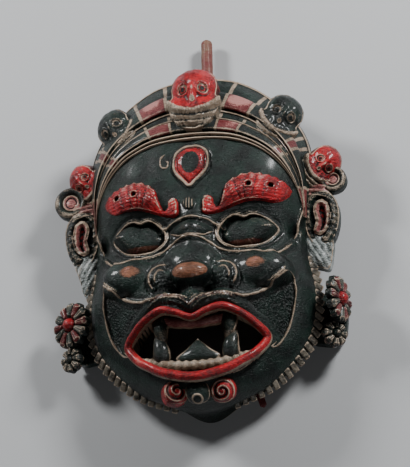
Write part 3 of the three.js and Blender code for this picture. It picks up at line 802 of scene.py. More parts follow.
def set_in_place(piece, size, tilt, turn, lean, place):
    """Scales a carved piece, leans it back, turns it, tilts it and moves it to its seat."""
    matrix = (Matrix.Translation(place) @ Matrix.Rotation(math.radians(tilt), 4, "Z")
              @ Matrix.Rotation(math.radians(turn), 4, "Y") @ Matrix.Rotation(math.radians(-lean), 4, "X")
              @ Matrix.Scale(size, 4))
    piece.data.transform(matrix)
    piece.data.update()


skulls = []
for number, (x, y, z, size, tilt, turn, lean) in enumerate(SEATS):
    skull = carve_block(f"skull_{number}", SKULL_OUTLINE, skull_relief, -14, cells=SKULL_CELLS)
    set_in_place(skull, size, tilt, turn, lean, (x, y, z))
    skulls.append(skull)
print("skulls:", sum(len(skull.data.polygons) for skull in skulls), "faces")

# %% [markdown]
# ## Chin and beard
# The chin ends in a green bead between two red curls. The beard is a row of small blocks along the
# edge of the jaw, each a cube that is cut once each way, bevelled and set square to the edge.

# %% Chin curls
CURL = smooth_line([(14, 0), (10, 11), (0, 14), (-11, 10), (-14, 0), (-10, -11), (0, -14), (11, -10)],
                   closed=True, steps=6)


def curl_relief(x, y):
    bearing, off = np.arctan2(y, x), np.hypot(x, y)
    coil = np.sin(bearing + off * 0.9 + 0.5)
    dome = np.sqrt(np.clip(1 - (off / 15) ** 2, 0.05, 1))
    z = 11 * dome + 1.6 * coil * rise(1.5, 4, off) * rise(14, 11, off)
    return z, {"red": 1.0, "rub_and_highlight": 0.3 * rise(0.3, 0.95, coil)}


def bead_relief(x, y):
    off = np.hypot(x, y)
    ring = np.hypot(x, y + 7)
    z = 15 * np.sqrt(np.clip(1 - (off / 15.5) ** 2, 0.05, 1)) + 1.2 * roll_of(ring - 5.5, 1.5)
    return z, {"pale": 0.8 * rise(1.6, 0.6, abs(ring - 5.5))}


chin_left = carve_block("chin_left", CURL, curl_relief, -7, cells=44)
set_in_place(chin_left, 0.95, 90, 0, -26, (-26, -200, 70))
chin_right = carve_block("chin_right", CURL, curl_relief, -7, cells=44)
set_in_place(chin_right, 0.95, 0, 0, -26, (26, -200, 70))
chin_bead = carve_block("chin_bead", CURL, bead_relief, -7, cells=44)
set_in_place(chin_bead, 0.95, 0, 0, -26, (0, -199.5, 71))

# %% Beard
BEADS = 24
BEAD_FROM, BEAD_TO = -13.0, -81.0


def one_bead(place, bearing):
    bpy.ops.object.select_all(action="DESELECT")
    bpy.ops.mesh.primitive_cube_add(size=1)
    piece = bpy.context.object
    work_on(piece)
    bpy.ops.object.mode_set(mode="EDIT")
    bpy.ops.mesh.select_all(action="SELECT")
    bpy.ops.mesh.subdivide(number_cuts=1, smoothness=0)
    bpy.ops.mesh.bevel(offset=0.16, segments=2, affect="EDGES")
    bpy.ops.object.mode_set(mode="OBJECT")
    piece.data.transform(Matrix.Translation(place) @ Matrix.Rotation(bearing, 4, "Z")
                         @ Matrix.Rotation(math.radians(38), 4, "Y") @ Matrix.Diagonal((12.5, 6.5, 9.5, 1)))
    return piece


beads = []
for side in (1, -1):
    for number in range(BEADS):
        bearing = math.radians(BEAD_FROM + (BEAD_TO - BEAD_FROM) * (number + 0.5) / BEADS)
        out = float(table_at(HEAD_RADII, np.array([bearing]))[0]) - 0.5
        out -= 4.0 * float(rise(1.1, 1.4, -bearing))
        lift = float(table_at(EDGE_HEIGHTS, np.array([bearing]))[0]) + 1
        bearing = bearing if side > 0 else math.pi - bearing
        beads.append(one_bead((out * math.cos(bearing), HEAD_MIDDLE_Y + out * math.sin(bearing), lift),
                              bearing))
beard = joined("beard", beads)
print("beard:", len(beard.data.polygons), "faces")

# %% [markdown]
# ## Ears
# The ears stand beside the head, each with a rolled rim, a deep red hollow, a ribbon looped over the
# top and a long silvered lobe. Ear, lobe and ribbon are blocks carved from the front.

# %% Ears
EAR_OUTLINE = smooth_line([(118, -24), (113, 0), (116, 20), (126, 29), (139, 27), (149, 16), (152, -2),
                           (148, -22), (140, -34), (126, -34)], closed=True, steps=8)
EAR_ROLL = smooth_line([(121, -30), (117, -14), (116, 4), (120, 19), (130, 25), (140, 22), (147, 10),
                        (147.5, -6), (143, -22), (136, -31)], steps=8)
CONCHA = smooth_line([(127, 12), (133, 16), (139.5, 11), (141.5, 0), (140.5, -12), (136, -21), (129, -24),
                      (125, -19), (127.5, -9), (126.5, -3), (125, 5)], closed=True, steps=6)
LOBES = {1: [(109, -20), (109, -34), (113, -47), (121, -56), (130, -60), (139, -61), (143, -45), (144, -28),
             (138, -18), (122, -14)],
         -1: [(113, -20), (113, -40), (116, -56), (121, -67), (127, -71), (133, -66), (136, -52), (141, -38),
              (144, -26), (130, -14)]}
RIBBON_X, RIBBON_Y = 146.0, 41.0
RIBBON_REACH = {1: 15.0, -1: 18.5}
TAIL_OUTLINE = smooth_line([(104, 30), (118, 37), (132, 40), (142, 37), (142, 27), (132, 20), (118, 18),
                            (105, 18)], closed=True, steps=6)


def ear_relief(x, y):
    depth = depth_inside(x, y, EAR_OUTLINE, reach=30)
    roll, _ = to_line(x, y, EAR_ROLL, reach=20)
    shell = depth_inside(x, y, CONCHA, reach=20)
    z = 39 + 4 * rise(0, 9, depth) + 6 * roll_of(roll, 4.6) + 4.5 * roll_of(shell - 1.5, 2.8) \
        - 2 * rise(2, 4, shell) + 0.4 * np.sin(y * 0.9 + x * 0.3)
    return z, {"pink": 0.85 * rise(-1.2, 0.2, shell), "red": 0.8 * rise(3.6, 5.0, shell),
               "pale": np.maximum(0.75 * rise(1.3, 0.4, abs(shell - 0.6)), 0.45 * rise(1.6, 0.8, roll))}


def ribbon_block(reach):
    outline = smooth_line([(RIBBON_X + reach * math.cos(a), RIBBON_Y + reach * math.sin(a))
                           for a in np.arange(12) * math.pi / 6], closed=True, steps=6)

    def relief(x, y):
        off = np.hypot(x - RIBBON_X, y - RIBBON_Y) * 18.5 / reach
        z = 39 + 6.5 * roll_of(off - 14.3, 4.4) + 3.5 * roll_of(off - 8.4, 1.9) + 2.5 * roll_of(off, 7)
        return z, {"pink": 0.85 * rise(10.2, 9.2, off), "pale": 0.8 * rise(1.8, 0.8, abs(off - 9.2))}

    return carve_block("ribbon", outline, relief, 32, cells=60)


def lobe_block(side):
    outline = smooth_line(LOBES[side], closed=True, steps=8)

    def relief(x, y):
        depth = depth_inside(x, y, outline, reach=30)
        return 37 + 7.5 * np.sqrt(rise(-2, 10, depth)) + 0.5 * np.sin(x * 0.9 + y * 0.5), {"silver": 1.0}

    return carve_block("lobe", outline, relief, 29, cells=60, centre=(128, -40))


def tail_relief(x, y):
    depth = depth_inside(x, y, TAIL_OUTLINE, reach=30)
    return 40 + 6 * np.sqrt(rise(-2, 9, depth)) + 0.9 * np.sin((y + 0.15 * x) * 1.1), {"pink": 0.7}


def flipped(piece):
    """Mirrors a finished piece to the other side, with its faces still outward."""
    piece.data.transform(Matrix.Diagonal((-1, 1, 1, 1)))
    piece.data.flip_normals()
    return piece


ears = []
for side in (1, -1):
    blocks = [carve_block("ear", EAR_OUTLINE, ear_relief, 29, cells=80, centre=(132, -3)),
              lobe_block(side), ribbon_block(RIBBON_REACH[side]),
              carve_block("ribbon_tail", TAIL_OUTLINE, tail_relief, 31, cells=44, centre=(124, 28))]
    ears.append([block if side > 0 else flipped(block) for block in blocks])
print("ears:", sum(len(block.data.polygons) for pair in ears for block in pair), "faces")

# %% [markdown]
# ## Earrings
# Each earring is a carrier against the jaw's side wall that holds a flower and a bud on short posts.
# The petals are one block with a teardrop ridge for every petal, dark gaps between and a round boss.

# %% Earrings
CARRIER_OUTLINE = [(108, -80), (134, -82), (150, -90), (154, -104), (152, -128), (146, -138), (134, -141),
                   (118, -138), (104, -126)]
CARRIER_Z, CARRIER_THICK = 7.0, 11.0
WALL_GAP, WALL_CORNERS, WALL_TALL = 0.3, 240, 30
FLOWER = dict(radius=25, petals=12, boss=7.6, thick=6)
BUD = dict(radius=14, petals=8, boss=4.5, thick=5)
# Side, form, place and turn; the right flower is twisted outward on its post.
FLOWER_SEATS = [(1, FLOWER, (150, -99, 44), 74), (1, BUD, (142.5, -135, 36), 38),
                (-1, FLOWER, (-146, -103, 44), -32), (-1, BUD, (-147, -140, 36), -32)]


def petals_block(name, radius, petals, boss, thick):
    angle = np.linspace(0, 2 * math.pi, 24 * petals, endpoint=False)
    reach = radius * (0.82 + 0.22 * np.abs(np.cos(petals * angle / 2)) ** 0.6)
    outline = np.column_stack([reach * np.cos(angle), reach * np.sin(angle)])

    def relief(x, y):
        off, bearing = np.hypot(x, y), np.arctan2(y, x)
        number = np.round(bearing * petals / (2 * math.pi))
        aside = off * np.abs(np.sin(bearing - number * 2 * math.pi / petals))
        broad = radius * (0.06 + 0.145 * np.clip(off / radius, 0, 1)) * 12 / petals
        leaf = roll_of(aside, broad) * rise(boss * 0.9, boss * 1.5, off)
        leaf = leaf * rise(radius * 1.04, radius * 0.84, off)
        vein = 1.0 * rise(0.9, 0.0, aside) * rise(radius * 0.45, radius * 0.6, off)
        z = 4.2 * leaf - vein + (thick + 3.0) * roll_of(off, boss) - 1.5 * (leaf < 0.05) * (off > boss)
        every_other = (number % 2 == 0) if petals > 8 else np.zeros(len(x), bool)
        on_petal, on_boss = rise(0.15, 0.45, leaf), rise(boss + 0.4, boss - 0.4, off)
        red_boss = on_boss if petals > 8 else 0 * on_boss
        return z, {"bright": red_boss, "band": on_petal * every_other, "grey": on_petal * ~every_other,
                   "rub_and_highlight": 0.35 * rise(radius * 0.65, radius, off)}

    return carve_block(name, outline, relief, -thick, cells=96 if petals > 8 else 64, centre=(0, 0))


def wall_copy():
    """A plain block the size of the head's side wall and a gap, to fit a carrier against it."""
    bpy.ops.object.select_all(action="DESELECT")
    bpy.ops.mesh.primitive_circle_add(vertices=WALL_CORNERS, fill_type="NGON")
    block = bpy.context.object
    angle = np.arange(WALL_CORNERS) * 2 * math.pi / WALL_CORNERS
    slope = np.arcsin(np.sin(angle))
    reach = table_at(HEAD_RADII, slope) - head_inset(slope) + WALL_GAP
    set_points(block, np.column_stack([reach * np.cos(angle), HEAD_MIDDLE_Y + reach * np.sin(angle),
                                       np.full(WALL_CORNERS, -1.0)]))
    bpy.ops.object.mode_set(mode="EDIT")
    bpy.ops.mesh.select_all(action="SELECT")
    bpy.ops.mesh.extrude_region_move(TRANSFORM_OT_translate={"value": (0, 0, WALL_TALL)})
    bpy.ops.mesh.select_all(action="SELECT")
    bpy.ops.mesh.normals_make_consistent(inside=False)
    bpy.ops.object.mode_set(mode="OBJECT")
    return block


def earring_piece(name, side):
    bpy.ops.object.select_all(action="DESELECT")
    bpy.ops.mesh.primitive_circle_add(vertices=len(CARRIER_OUTLINE), fill_type="NGON")
    carrier = bpy.context.object
    set_points(carrier, [(side * px, py, CARRIER_Z) for px, py in CARRIER_OUTLINE])
    bpy.ops.object.mode_set(mode="EDIT")
    bpy.ops.mesh.select_all(action="SELECT")
    bpy.ops.mesh.extrude_region_move(TRANSFORM_OT_translate={"value": (0, 0, CARRIER_THICK)})
    bpy.ops.mesh.select_all(action="SELECT")
    bpy.ops.mesh.normals_make_consistent(inside=False)
    bpy.ops.mesh.bevel(offset=1.2, segments=3, affect="EDGES")
    bpy.ops.object.mode_set(mode="OBJECT")
    cut_away(carrier, wall_copy())
    parts = [carrier]
    for seat_side, form, place, turn in FLOWER_SEATS:
        if seat_side != side:
            continue
        flower = petals_block("petals", **form)
        set_in_place(flower, 1, 0, turn, 0, place)
        bpy.ops.object.select_all(action="DESELECT")
        bpy.ops.mesh.primitive_uv_sphere_add(segments=20, ring_count=12, radius=1)
        post = bpy.context.object
        post.data.transform(Matrix.Translation((place[0], place[1], (place[2] + CARRIER_Z) / 2))
                            @ Matrix.Diagonal((6.6, 6.6, (place[2] - CARRIER_Z) / 2, 1)))
        parts += [flower, post]
    return joined(name, parts)


flowers = [earring_piece("flower_earring_right", 1), earring_piece("flower_earring_left", -1)]

# %% [markdown]
# ## Peg and dowel
# The peg at the top and the small dowel under the jaw are turned sticks, whittled a little. A cylinder
# is cut across into short lengths, and its points are moved in and out.

# %% Peg and dowel
def whittled(name, radius, length, tip, matrix, taper=0.0):
    bpy.ops.object.select_all(action="DESELECT")
    bpy.ops.mesh.primitive_cylinder_add(vertices=28, radius=radius, depth=length,
                                        location=(0, 0, length / 2), end_fill_type="NGON")
    piece = bpy.context.object
    bpy.ops.object.transform_apply(location=True)
    piece.name = piece.data.name = name
    bpy.ops.object.mode_set(mode="EDIT")
    bpy.ops.mesh.select_all(action="SELECT")
    cuts = int(length / 2.5)
    for cut in range(1, cuts):
        bpy.ops.mesh.select_all(action="SELECT")
        bpy.ops.mesh.bisect(plane_co=(0, 0, length * cut / cuts), plane_no=(0, 0, 1))
    bpy.ops.object.mode_set(mode="OBJECT")
    co = points_of(piece)
    bearing, z = np.arctan2(co[:, 1], co[:, 0]), co[:, 2]
    round_end = np.sqrt(np.clip(1 - (np.maximum(0, z - (length - tip)) / tip) ** 2, 0.04, 1))
    facets = 1 - 0.035 * np.abs(np.sin(2.5 * bearing + z / 19)) - 0.015 * np.sin(z / 3.7 + bearing)
    co[:, :2] *= (round_end * facets * (1 - taper * z / length))[:, None]
    set_points(piece, co)
    piece.data.transform(matrix)
    return piece


PEG_BOTTOM, PEG_Z, PEG_RADIUS = 160.0, 13.0, 6.5
peg = whittled("peg", PEG_RADIUS, PEG_TOP - PEG_BOTTOM, 6.0,
               Matrix.Translation((PEG_X, PEG_BOTTOM, PEG_Z)) @ Matrix.Rotation(math.radians(-90), 4, "X"))
DOWEL_ANGLE, DOWEL_Z, DOWEL_RADIUS, DOWEL_LENGTH, DOWEL_SUNK = math.radians(-72), 14.0, 4.2, 28.0, 8.0
start = float(table_at(HEAD_RADII, np.array([DOWEL_ANGLE]))[0]) - JAW_INSET - DOWEL_SUNK
dowel = whittled("dowel", DOWEL_RADIUS, DOWEL_LENGTH, 1.5,
                 Matrix.Translation((start * math.cos(DOWEL_ANGLE), HEAD_MIDDLE_Y
                                     + start * math.sin(DOWEL_ANGLE), DOWEL_Z))
                 @ Matrix.Rotation(DOWEL_ANGLE, 4, "Z") @ Matrix.Rotation(math.radians(90), 4, "Y"), 0.1)

# %% [markdown]
# ## How the paint has worn, with grime and painted shade in the hollows
# Hands and time rub paint off whatever stands proud and leave dirt in whatever lies deep, and there the
# colour is also darkened as painted shade. So each piece notes, at every point, how sharply it bulges
# out, as one over the radius in millimetres: a narrow measure for thin edges and a broad one for the
# bigger forms. The materials read both.

# %% Proud and deep places
def smoothed(values, a, b, degree, rounds):
    """Values averaged with their neighbours' over the mesh's edges a-b, a number of times."""
    count = len(values)
    for _ in range(rounds):
        sums = [np.bincount(a, column[b], count) + np.bincount(b, column[a], count) for column in values.T]
        values = np.column_stack([total / degree for total in sums])
    return values


def note_wear_and_shade(piece, narrow=3, broad=30):
    mesh, co = piece.data, points_of(piece)
    ends = np.empty(2 * len(mesh.edges), int)
    mesh.edges.foreach_get("vertices", ends)
    a, b = ends.reshape(-1, 2).T
    normals = np.empty(3 * len(co))
    mesh.vertices.foreach_get("normal", normals)
    normals = normals.reshape(-1, 3)
    degree = np.maximum(np.bincount(a, minlength=len(co)) + np.bincount(b, minlength=len(co)), 1)
    length = ((co[a] - co[b]) ** 2).sum(1)
    spacing = (np.bincount(a, length, len(co)) + np.bincount(b, length, len(co))) / degree + 0.3
    near = smoothed(co, a, b, degree, narrow)
    far = smoothed(near, a, b, degree, broad)
    note(piece, {"proud": 4 * ((co - near) * normals).sum(1) / (narrow * spacing),
                 "high": 4 * ((co - far) * normals).sum(1) / (broad * spacing)})


# %% [markdown]
# ## Into the frame
# Every piece is moved by the carver's zero and turned from millimetres to metres in its own mesh, so
# the objects stay at the origin. Each rides on the one body and stands for its solid.

# %% Into the frame
FACE_PIECES = [head, *brows, fillets, lips, mouth_parts, crown, *skulls, chin_left, chin_right,
               chin_bead, beard, *ears[0], *ears[1]]
STANDS_FOR = {piece.name: "mask_shell" for piece in FACE_PIECES}
STANDS_FOR.update({flowers[0].name: "earring_right", flowers[1].name: "earring_left", peg.name: "top_peg",
                   dowel.name: "jaw_dowel"})
PIECES = [*FACE_PIECES, *flowers, peg, dowel]
for piece in PIECES:
    note_wear_and_shade(piece)
    piece.data.transform(Matrix.Scale(0.001, 4) @ Matrix.Translation(ZERO))
    piece.matrix_world = Matrix.Identity(4)
    work_on(piece)
    bpy.ops.object.shade_smooth_by_angle(angle=math.radians(50))
    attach(piece, "root")
    node = STANDS_FOR[piece.name]
    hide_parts(node)
print(len(PIECES), "pieces, triangles:", sum(len(p.vertices) - 2 for o in PIECES for p in o.data.polygons))

# %% [markdown]
# ## Paint and varnish
# The mask is painted in a few flat colours over pale ground, then varnished. Each finish is one
# material: a ground colour and layers that lie over it where a mask says so. A layer's edge is made
# ragged with noise, as a brush and wear leave it. What several finishes share is in node groups.

# %% Node helpers
def add(tree, kind, settings=None, **inputs):
    """Adds a node; an input is a socket to link or a plain value."""
    made = tree.nodes.new(kind)
    for name, value in (settings or {}).items():
        setattr(made, name, value)
    for name, value in inputs.items():
        socket = made.inputs[int(name[1:])] if name[1:].isdigit() else made.inputs[name.replace("_", " ")]
        if isinstance(value, bpy.types.NodeSocket):
            tree.links.new(value, socket)
        else:
            socket.default_value = value
    return made


def maths(tree, operation, a, b=0.0):
    return add(tree, "ShaderNodeMath", {"operation": operation}, i0=a, i1=b).outputs[0]


def ranged(tree, value, low, high, to_low=0.0, to_high=1.0):
    made = add(tree, "ShaderNodeMapRange", {"interpolation_type": "SMOOTHSTEP"}, i0=value, i1=low, i2=high,
               i3=to_low, i4=to_high)
    return made.outputs[0]


def mixed(tree, share, a, b, blend="MIX"):
    made = add(tree, "ShaderNodeMix", {"data_type": "RGBA", "blend_type": blend}, i0=share, i6=a, i7=b)
    return made.outputs[2]


def mask(tree, name):
    return add(tree, "ShaderNodeAttribute", {"attribute_name": name}).outputs["Fac"]


def new_group(name, inputs, outputs):
    """A node group with named sockets; gives the tree, its input node and its output node."""
    tree = bpy.data.node_groups.new(name, "ShaderNodeTree")
    for socket, (kind, value) in inputs.items():
        made = tree.interface.new_socket(socket, in_out="INPUT", socket_type=kind)
        if value is not None:
            made.default_value = value
    for socket, kind in outputs.items():
        tree.interface.new_socket(socket, in_out="OUTPUT", socket_type=kind)
    return tree, tree.nodes.new("NodeGroupInput"), tree.nodes.new("NodeGroupOutput")


FLOAT, COLOUR = "NodeSocketFloat", "NodeSocketColor"


# %% Shared effects
def brushwork_group():
    """Fine grain, broad clouds, specks and strokes of hand-laid paint."""
    tree, given, result = new_group("Brushwork", {"Size": (FLOAT, 1.0)},
                                    {"Fine": FLOAT, "Broad": FLOAT, "Specks": FLOAT, "Strokes": FLOAT})
    place = add(tree, "ShaderNodeTexCoord").outputs["Object"]
    place = add(tree, "ShaderNodeVectorMath", {"operation": "SCALE"}, i0=place,
                Scale=given.outputs["Size"]).outputs[0]
    fine = add(tree, "ShaderNodeTexNoise", Vector=place, Scale=700.0, Detail=3.0, Roughness=0.6)
    broad = add(tree, "ShaderNodeTexNoise", Vector=place, Scale=55.0, Detail=4.0, Roughness=0.6)
    specks = add(tree, "ShaderNodeTexVoronoi", {"feature": "F1"}, Vector=place, Scale=420.0)
    long = add(tree, "ShaderNodeMapping", Vector=place, Scale=(260.0, 900.0, 500.0), Rotation=(0.0, 0.0, 0.5))
    strokes = add(tree, "ShaderNodeTexNoise", Vector=long.outputs[0], Scale=1.0, Detail=3.0)
    for name, socket in (("Fine", fine.outputs["Fac"]), ("Broad", broad.outputs["Fac"]),
                         ("Specks", specks.outputs["Distance"]), ("Strokes", strokes.outputs["Fac"])):
        tree.links.new(socket, result.inputs[name])
    return tree


def ragged_group():
    """Turns a soft mask into paint with a ragged edge."""
    tree, given, result = new_group("Ragged paint", {"Mask": (FLOAT, 0.0), "Fine": (FLOAT, 0.5),
                                                     "Broad": (FLOAT, 0.5), "Raggedness": (FLOAT, 0.5)},
                                    {"Mask": FLOAT})
    noise = maths(tree, "ADD", maths(tree, "MULTIPLY", given.outputs["Fine"], 0.6),
                  maths(tree, "MULTIPLY", given.outputs["Broad"], 0.8))
    noise = maths(tree, "MULTIPLY", maths(tree, "SUBTRACT", noise, 0.7), given.outputs["Raggedness"])
    ragged = ranged(tree, maths(tree, "ADD", given.outputs["Mask"], noise), 0.4, 0.62)
    tree.links.new(ragged, result.inputs["Mask"])
    return tree


def wear_and_shade_group():
    """Rubs a colour down to the pale ground on proud places and darkens deep ones with grime and painted
    shade.
    """
    tree, given, result = new_group("Wear, grime and painted shade", {
        "Color": (COLOUR, None), "Ground": (COLOUR, None), "Proud": (FLOAT, 0.0), "High": (FLOAT, 0.0),
        "Fine": (FLOAT, 0.5), "Broad": (FLOAT, 0.5), "Wear": (FLOAT, 1.0),
        "Grime": (FLOAT, 1.0)}, {"Color": COLOUR, "Worn": FLOAT})
    proud = maths(tree, "MULTIPLY", given.outputs["Proud"], 1.3)
    proud = maths(tree, "MULTIPLY", proud, given.outputs["Wear"])
    high = maths(tree, "MULTIPLY", given.outputs["High"], 1.5)
    noise = maths(tree, "ADD", given.outputs["Fine"], given.outputs["Broad"])
    wear = maths(tree, "ADD", maths(tree, "ADD", proud, high), noise)
    worn = ranged(tree, wear, 1.5, 2.0)
    colour = mixed(tree, worn, given.outputs["Color"], given.outputs["Ground"])
    bulge = maths(tree, "MULTIPLY", given.outputs["High"], 2.0)
    bulge = maths(tree, "ADD", given.outputs["Proud"], bulge)
    hollow_grime_and_shade = maths(tree, "MULTIPLY", ranged(tree, bulge, -0.08, -0.5), given.outputs["Grime"])
    # hollows darken to near-black, as grime and as painted shade
    tree.links.new(mixed(tree, hollow_grime_and_shade, colour, (0.006, 0.007, 0.006, 1)), result.inputs["Color"])
    tree.links.new(worn, result.inputs["Worn"])
    return tree


BRUSHWORK, RAGGED, WEAR_AND_SHADE = brushwork_group(), ragged_group(), wear_and_shade_group()

# %% [markdown]
# ## The finishes
# A finish names its ground colour and its layers. Deep green-black lacquer covers the face and the
# crown; red, dusty pink, copper, silver and bone lie over it; the pale ground shows on worn edges.

# %% Finishes
INK, GREEN = (0.0012, 0.0030, 0.0026, 1), (0.0045, 0.016, 0.0115, 1)
RED, DEEP_RED = (0.42, 0.007, 0.012, 1), (0.075, 0.004, 0.005, 1)
PINK, DUSTY = (0.38, 0.17, 0.15, 1), (0.15, 0.035, 0.035, 1)
PALE, OCHRE = (0.36, 0.28, 0.21, 1), (0.15, 0.105, 0.07, 1)
COPPER, BROWN = (0.22, 0.085, 0.045, 1), (0.07, 0.028, 0.014, 1)
SILVER, BONE = (0.42, 0.45, 0.44, 1), (0.20, 0.17, 0.13, 1)
STONE, SCUFF = (0.11, 0.105, 0.088, 1), (0.050, 0.068, 0.056, 1)
WOOD, DARK_WOOD = (0.20, 0.13, 0.085, 1), (0.055, 0.034, 0.022, 1)
# Each layer: the mask, its two colours, how ragged its edge is.
LAYERS = {"red": (RED, DEEP_RED, 0.35), "band": (DUSTY, DEEP_RED, 0.3), "pink": (PINK, DUSTY, 0.9),
          "bone": (BONE, OCHRE, 0.5), "silver": (SILVER, GREEN, 0.9), "copper": (COPPER, BROWN, 0.7),
          "brown": (BROWN, DEEP_RED, 0.9), "dark": (INK, INK, 0.3), "pale": (PALE, OCHRE, 1.0),
          "wood": (WOOD, DARK_WOOD, 0.1), "grey": (STONE, GREEN, 0.5), "bright": (RED, DEEP_RED, 0.2)}


def finish(name, layers, ground=(INK, GREEN), worn_to=PALE, rub_and_highlight_to=PINK, wear=1.0, grime=1.0, size=1.0,
           roughness=(0.22, 0.50), coat=0.22, bump_height=1.0, scuffs=0.5):
    """One painted finish: ground, layers, wear, grime and painted shade in the hollows, gloss and grain."""
    material = bpy.data.materials.new(name)
    material.use_nodes = True
    tree = material.node_tree
    shader = tree.nodes["Principled BSDF"]
    brush = add(tree, "ShaderNodeGroup", {"node_tree": BRUSHWORK}, Size=size)
    fine, broad = brush.outputs["Fine"], brush.outputs["Broad"]
    specks, strokes = brush.outputs["Specks"], brush.outputs["Strokes"]
    clouds = ranged(tree, maths(tree, "ADD", maths(tree, "MULTIPLY", broad, 0.7),
                                maths(tree, "MULTIPLY", strokes, 0.3)), 0.38, 0.64)
    colour = mixed(tree, clouds, *ground)
    dry = maths(tree, "MULTIPLY", ranged(tree, strokes, 0.56, 0.74), ranged(tree, broad, 0.42, 0.62))
    colour = mixed(tree, maths(tree, "MULTIPLY", dry, scuffs), colour, SCUFF)
    for layer in layers:
        light, dark, raggedness = LAYERS[layer]
        edge = add(tree, "ShaderNodeGroup", {"node_tree": RAGGED}, Mask=mask(tree, layer), Fine=fine,
                   Broad=broad, Raggedness=raggedness).outputs["Mask"]
        paint = mixed(tree, ranged(tree, maths(tree, "ADD", strokes, broad), 0.75, 1.25), dark, light)
        colour = mixed(tree, edge, colour, paint)
    # rubbed spots worn to a pale pink; on the cheeks this is also a painted highlight
    rub_and_highlight_mask = add(tree, "ShaderNodeGroup", {"node_tree": RAGGED}, Mask=mask(tree, "rub_and_highlight"), Fine=fine,
                 Broad=broad, Raggedness=1.1).outputs["Mask"]
    colour = mixed(tree, maths(tree, "MULTIPLY", rub_and_highlight_mask, 0.85), colour, rub_and_highlight_to)
    worn = add(tree, "ShaderNodeGroup", {"node_tree": WEAR_AND_SHADE}, Color=colour, Ground=worn_to,
               Proud=mask(tree, "proud"), High=mask(tree, "high"), Fine=fine, Broad=broad, Wear=wear,
               Grime=grime)
    tree.links.new(worn.outputs["Color"], shader.inputs["Base Color"])
    low, high = roughness
    grit = maths(tree, "ADD", fine, maths(tree, "MULTIPLY", specks, 0.5))
    dullness = maths(tree, "ADD", maths(tree, "MULTIPLY", worn.outputs["Worn"], 0.25),
                     ranged(tree, grit, 0.4, 0.9, low, high))
    tree.links.new(dullness, shader.inputs["Roughness"])
    shader.inputs["Coat Weight"].default_value = coat
    shader.inputs["Coat Roughness"].default_value = 0.14
    shader.inputs["Specular IOR Level"].default_value = 0.28
    stipple = maths(tree, "MULTIPLY", mask(tree, "stipple"), maths(tree, "MULTIPLY", specks, 1.6))
    grain = maths(tree, "ADD", maths(tree, "ADD", maths(tree, "MULTIPLY", fine, 0.6), stipple),
                  maths(tree, "ADD", strokes, maths(tree, "MULTIPLY", broad, 1.2)))
    relief = add(tree, "ShaderNodeBump", Height=grain, Strength=bump_height, Distance=0.001)
    tree.links.new(relief.outputs["Normal"], shader.inputs["Normal"])
    return material


FACE_PAINT = finish("face_lacquer", ["copper", "brown", "red", "pink", "pale", "wood"])
BROW_PAINT = finish("brow_red", ["red", "dark"], wear=0.8)
THREAD_PAINT = finish("thread_pale", ["pale"], wear=0.3, grime=0.4)
LIP_PAINT = finish("lip_red", ["red", "pale"], wear=0.4, rub_and_highlight_to=PINK)
TOOTH_PAINT = finish("tooth_lacquer", ["pink", "bone", "pale"], wear=1.2)
CROWN_PAINT = finish("crown_lacquer", ["band", "pale"])
SKULL_RED = finish("skull_red", ["red", "bone", "dark", "pale"])
SKULL_DARK = finish("skull_dark", ["bone", "dark", "pale"], wear=0.8)
CURL_PAINT = finish("curl_red", ["red", "pale"])
EAR_PAINT = finish("ear_lacquer", ["pink", "red", "pale"])
LOBE_PAINT = finish("lobe_silver", ["silver"], roughness=(0.30, 0.6), size=1.3)
BEAD_PAINT = finish("bead_grey", ["bone"], ground=(BONE, INK), wear=0.9)
PETAL_PAINT = finish("petal_paint", ["grey", "band", "bright"], wear=0.8)
PEG_WOOD = finish("handled_wood", [], ground=(DUSTY, WOOD), worn_to=PINK, coat=0.05, roughness=(0.45, 0.7))
DOWEL_WOOD = finish("red_wood", [], ground=(DEEP_RED, DUSTY), worn_to=PINK, coat=0.05, roughness=(0.45, 0.7))

PAINTED = [(head, FACE_PAINT), (brows[0], BROW_PAINT), (brows[1], BROW_PAINT), (fillets, THREAD_PAINT),
           (lips, LIP_PAINT), (mouth_parts, TOOTH_PAINT), (crown, CROWN_PAINT), (chin_left, CURL_PAINT),
           (chin_right, CURL_PAINT), (chin_bead, CURL_PAINT), (beard, BEAD_PAINT),
           (flowers[0], PETAL_PAINT), (flowers[1], PETAL_PAINT), (peg, PEG_WOOD), (dowel, DOWEL_WOOD)]
PAINTED += zip(skulls, (SKULL_RED, SKULL_DARK, SKULL_DARK, SKULL_RED, SKULL_RED))
for pair in ears:
    PAINTED += zip(pair, (EAR_PAINT, LOBE_PAINT, EAR_PAINT, EAR_PAINT))
for piece, material in PAINTED:
    piece.data.materials.clear()
    piece.data.materials.append(material)
print(len(bpy.data.materials), "materials")

# %% [markdown]
# ## Camera, floor and light
# The mask lies on a plain floor and the camera looks down on it from below the chin and a little to
# the right. Its frame is built from the two angles, and the long lens keeps the face in proportion.

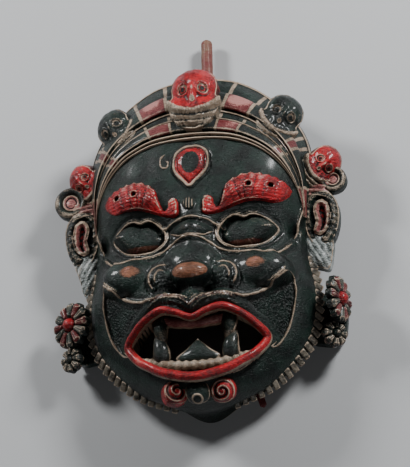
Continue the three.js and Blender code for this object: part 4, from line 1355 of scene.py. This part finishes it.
# %% Camera
YAW, PITCH, ROLL = math.radians(11), math.radians(22), math.radians(1)
VIEW_WIDTH, DISTANCE = 0.4428, 3.2
LOOK_AT = Vector((7.4, -16.7, 60)) / 1000 + Vector(ZERO) / 1000
right = Vector((math.cos(YAW), 0, -math.sin(YAW)))
up = Vector((math.sin(YAW) * math.sin(PITCH), math.cos(PITCH), math.cos(YAW) * math.sin(PITCH)))
away = right.cross(up)
right, up = (right * math.cos(ROLL) - up * math.sin(ROLL), right * math.sin(ROLL) + up * math.cos(ROLL))
bpy.ops.object.select_all(action="DESELECT")
bpy.ops.object.camera_add()
camera = bpy.context.object
camera.name = "camera"
camera.data.sensor_fit = "HORIZONTAL"
camera.data.sensor_width = 36
camera.data.lens = 36 * DISTANCE / VIEW_WIDTH
camera.data.clip_end = 20
turn = Matrix((right, up, away)).transposed().to_4x4()
camera.matrix_world = Matrix.Translation(LOOK_AT + away * DISTANCE) @ turn
bpy.context.scene.camera = camera

# %% Floor and lights
bpy.ops.object.select_all(action="DESELECT")
bpy.ops.mesh.primitive_plane_add(size=6, location=(0, 0, 0))
floor = bpy.context.object
floor.name = "floor"
floor_paint = bpy.data.materials.new("floor")
floor_paint.use_nodes = True
floor_shader = floor_paint.node_tree.nodes["Principled BSDF"]
floor_shader.inputs["Base Color"].default_value = (0.42, 0.43, 0.44, 1)
floor_shader.inputs["Roughness"].default_value = 0.8
floor.data.materials.append(floor_paint)


def softbox(name, place, size, power, colour=(1, 1, 1)):
    bpy.ops.object.select_all(action="DESELECT")
    bpy.ops.object.light_add(type="AREA", location=place)
    light = bpy.context.object
    light.name = name
    light.data.shape, light.data.size, light.data.size_y = "RECTANGLE", *size
    light.data.energy, light.data.color = power, colour
    light.rotation_euler = (Vector((0, 0, 0.05)) - Vector(place)).to_track_quat("-Z", "Y").to_euler()
    return light


softbox("right", (1.15, 0.85, 1.15), (0.40, 0.40), 44)
softbox("left", (-1.20, 0.85, 1.10), (0.40, 0.40), 34)
softbox("low", (0.4, -1.5, 1.0), (0.9, 0.5), 3)
world = bpy.data.worlds.new("studio")
bpy.context.scene.world = world
world.use_nodes = True
world.node_tree.nodes["Background"].inputs["Color"].default_value = (0.9, 0.93, 1, 1)
world.node_tree.nodes["Background"].inputs["Strength"].default_value = 0.02
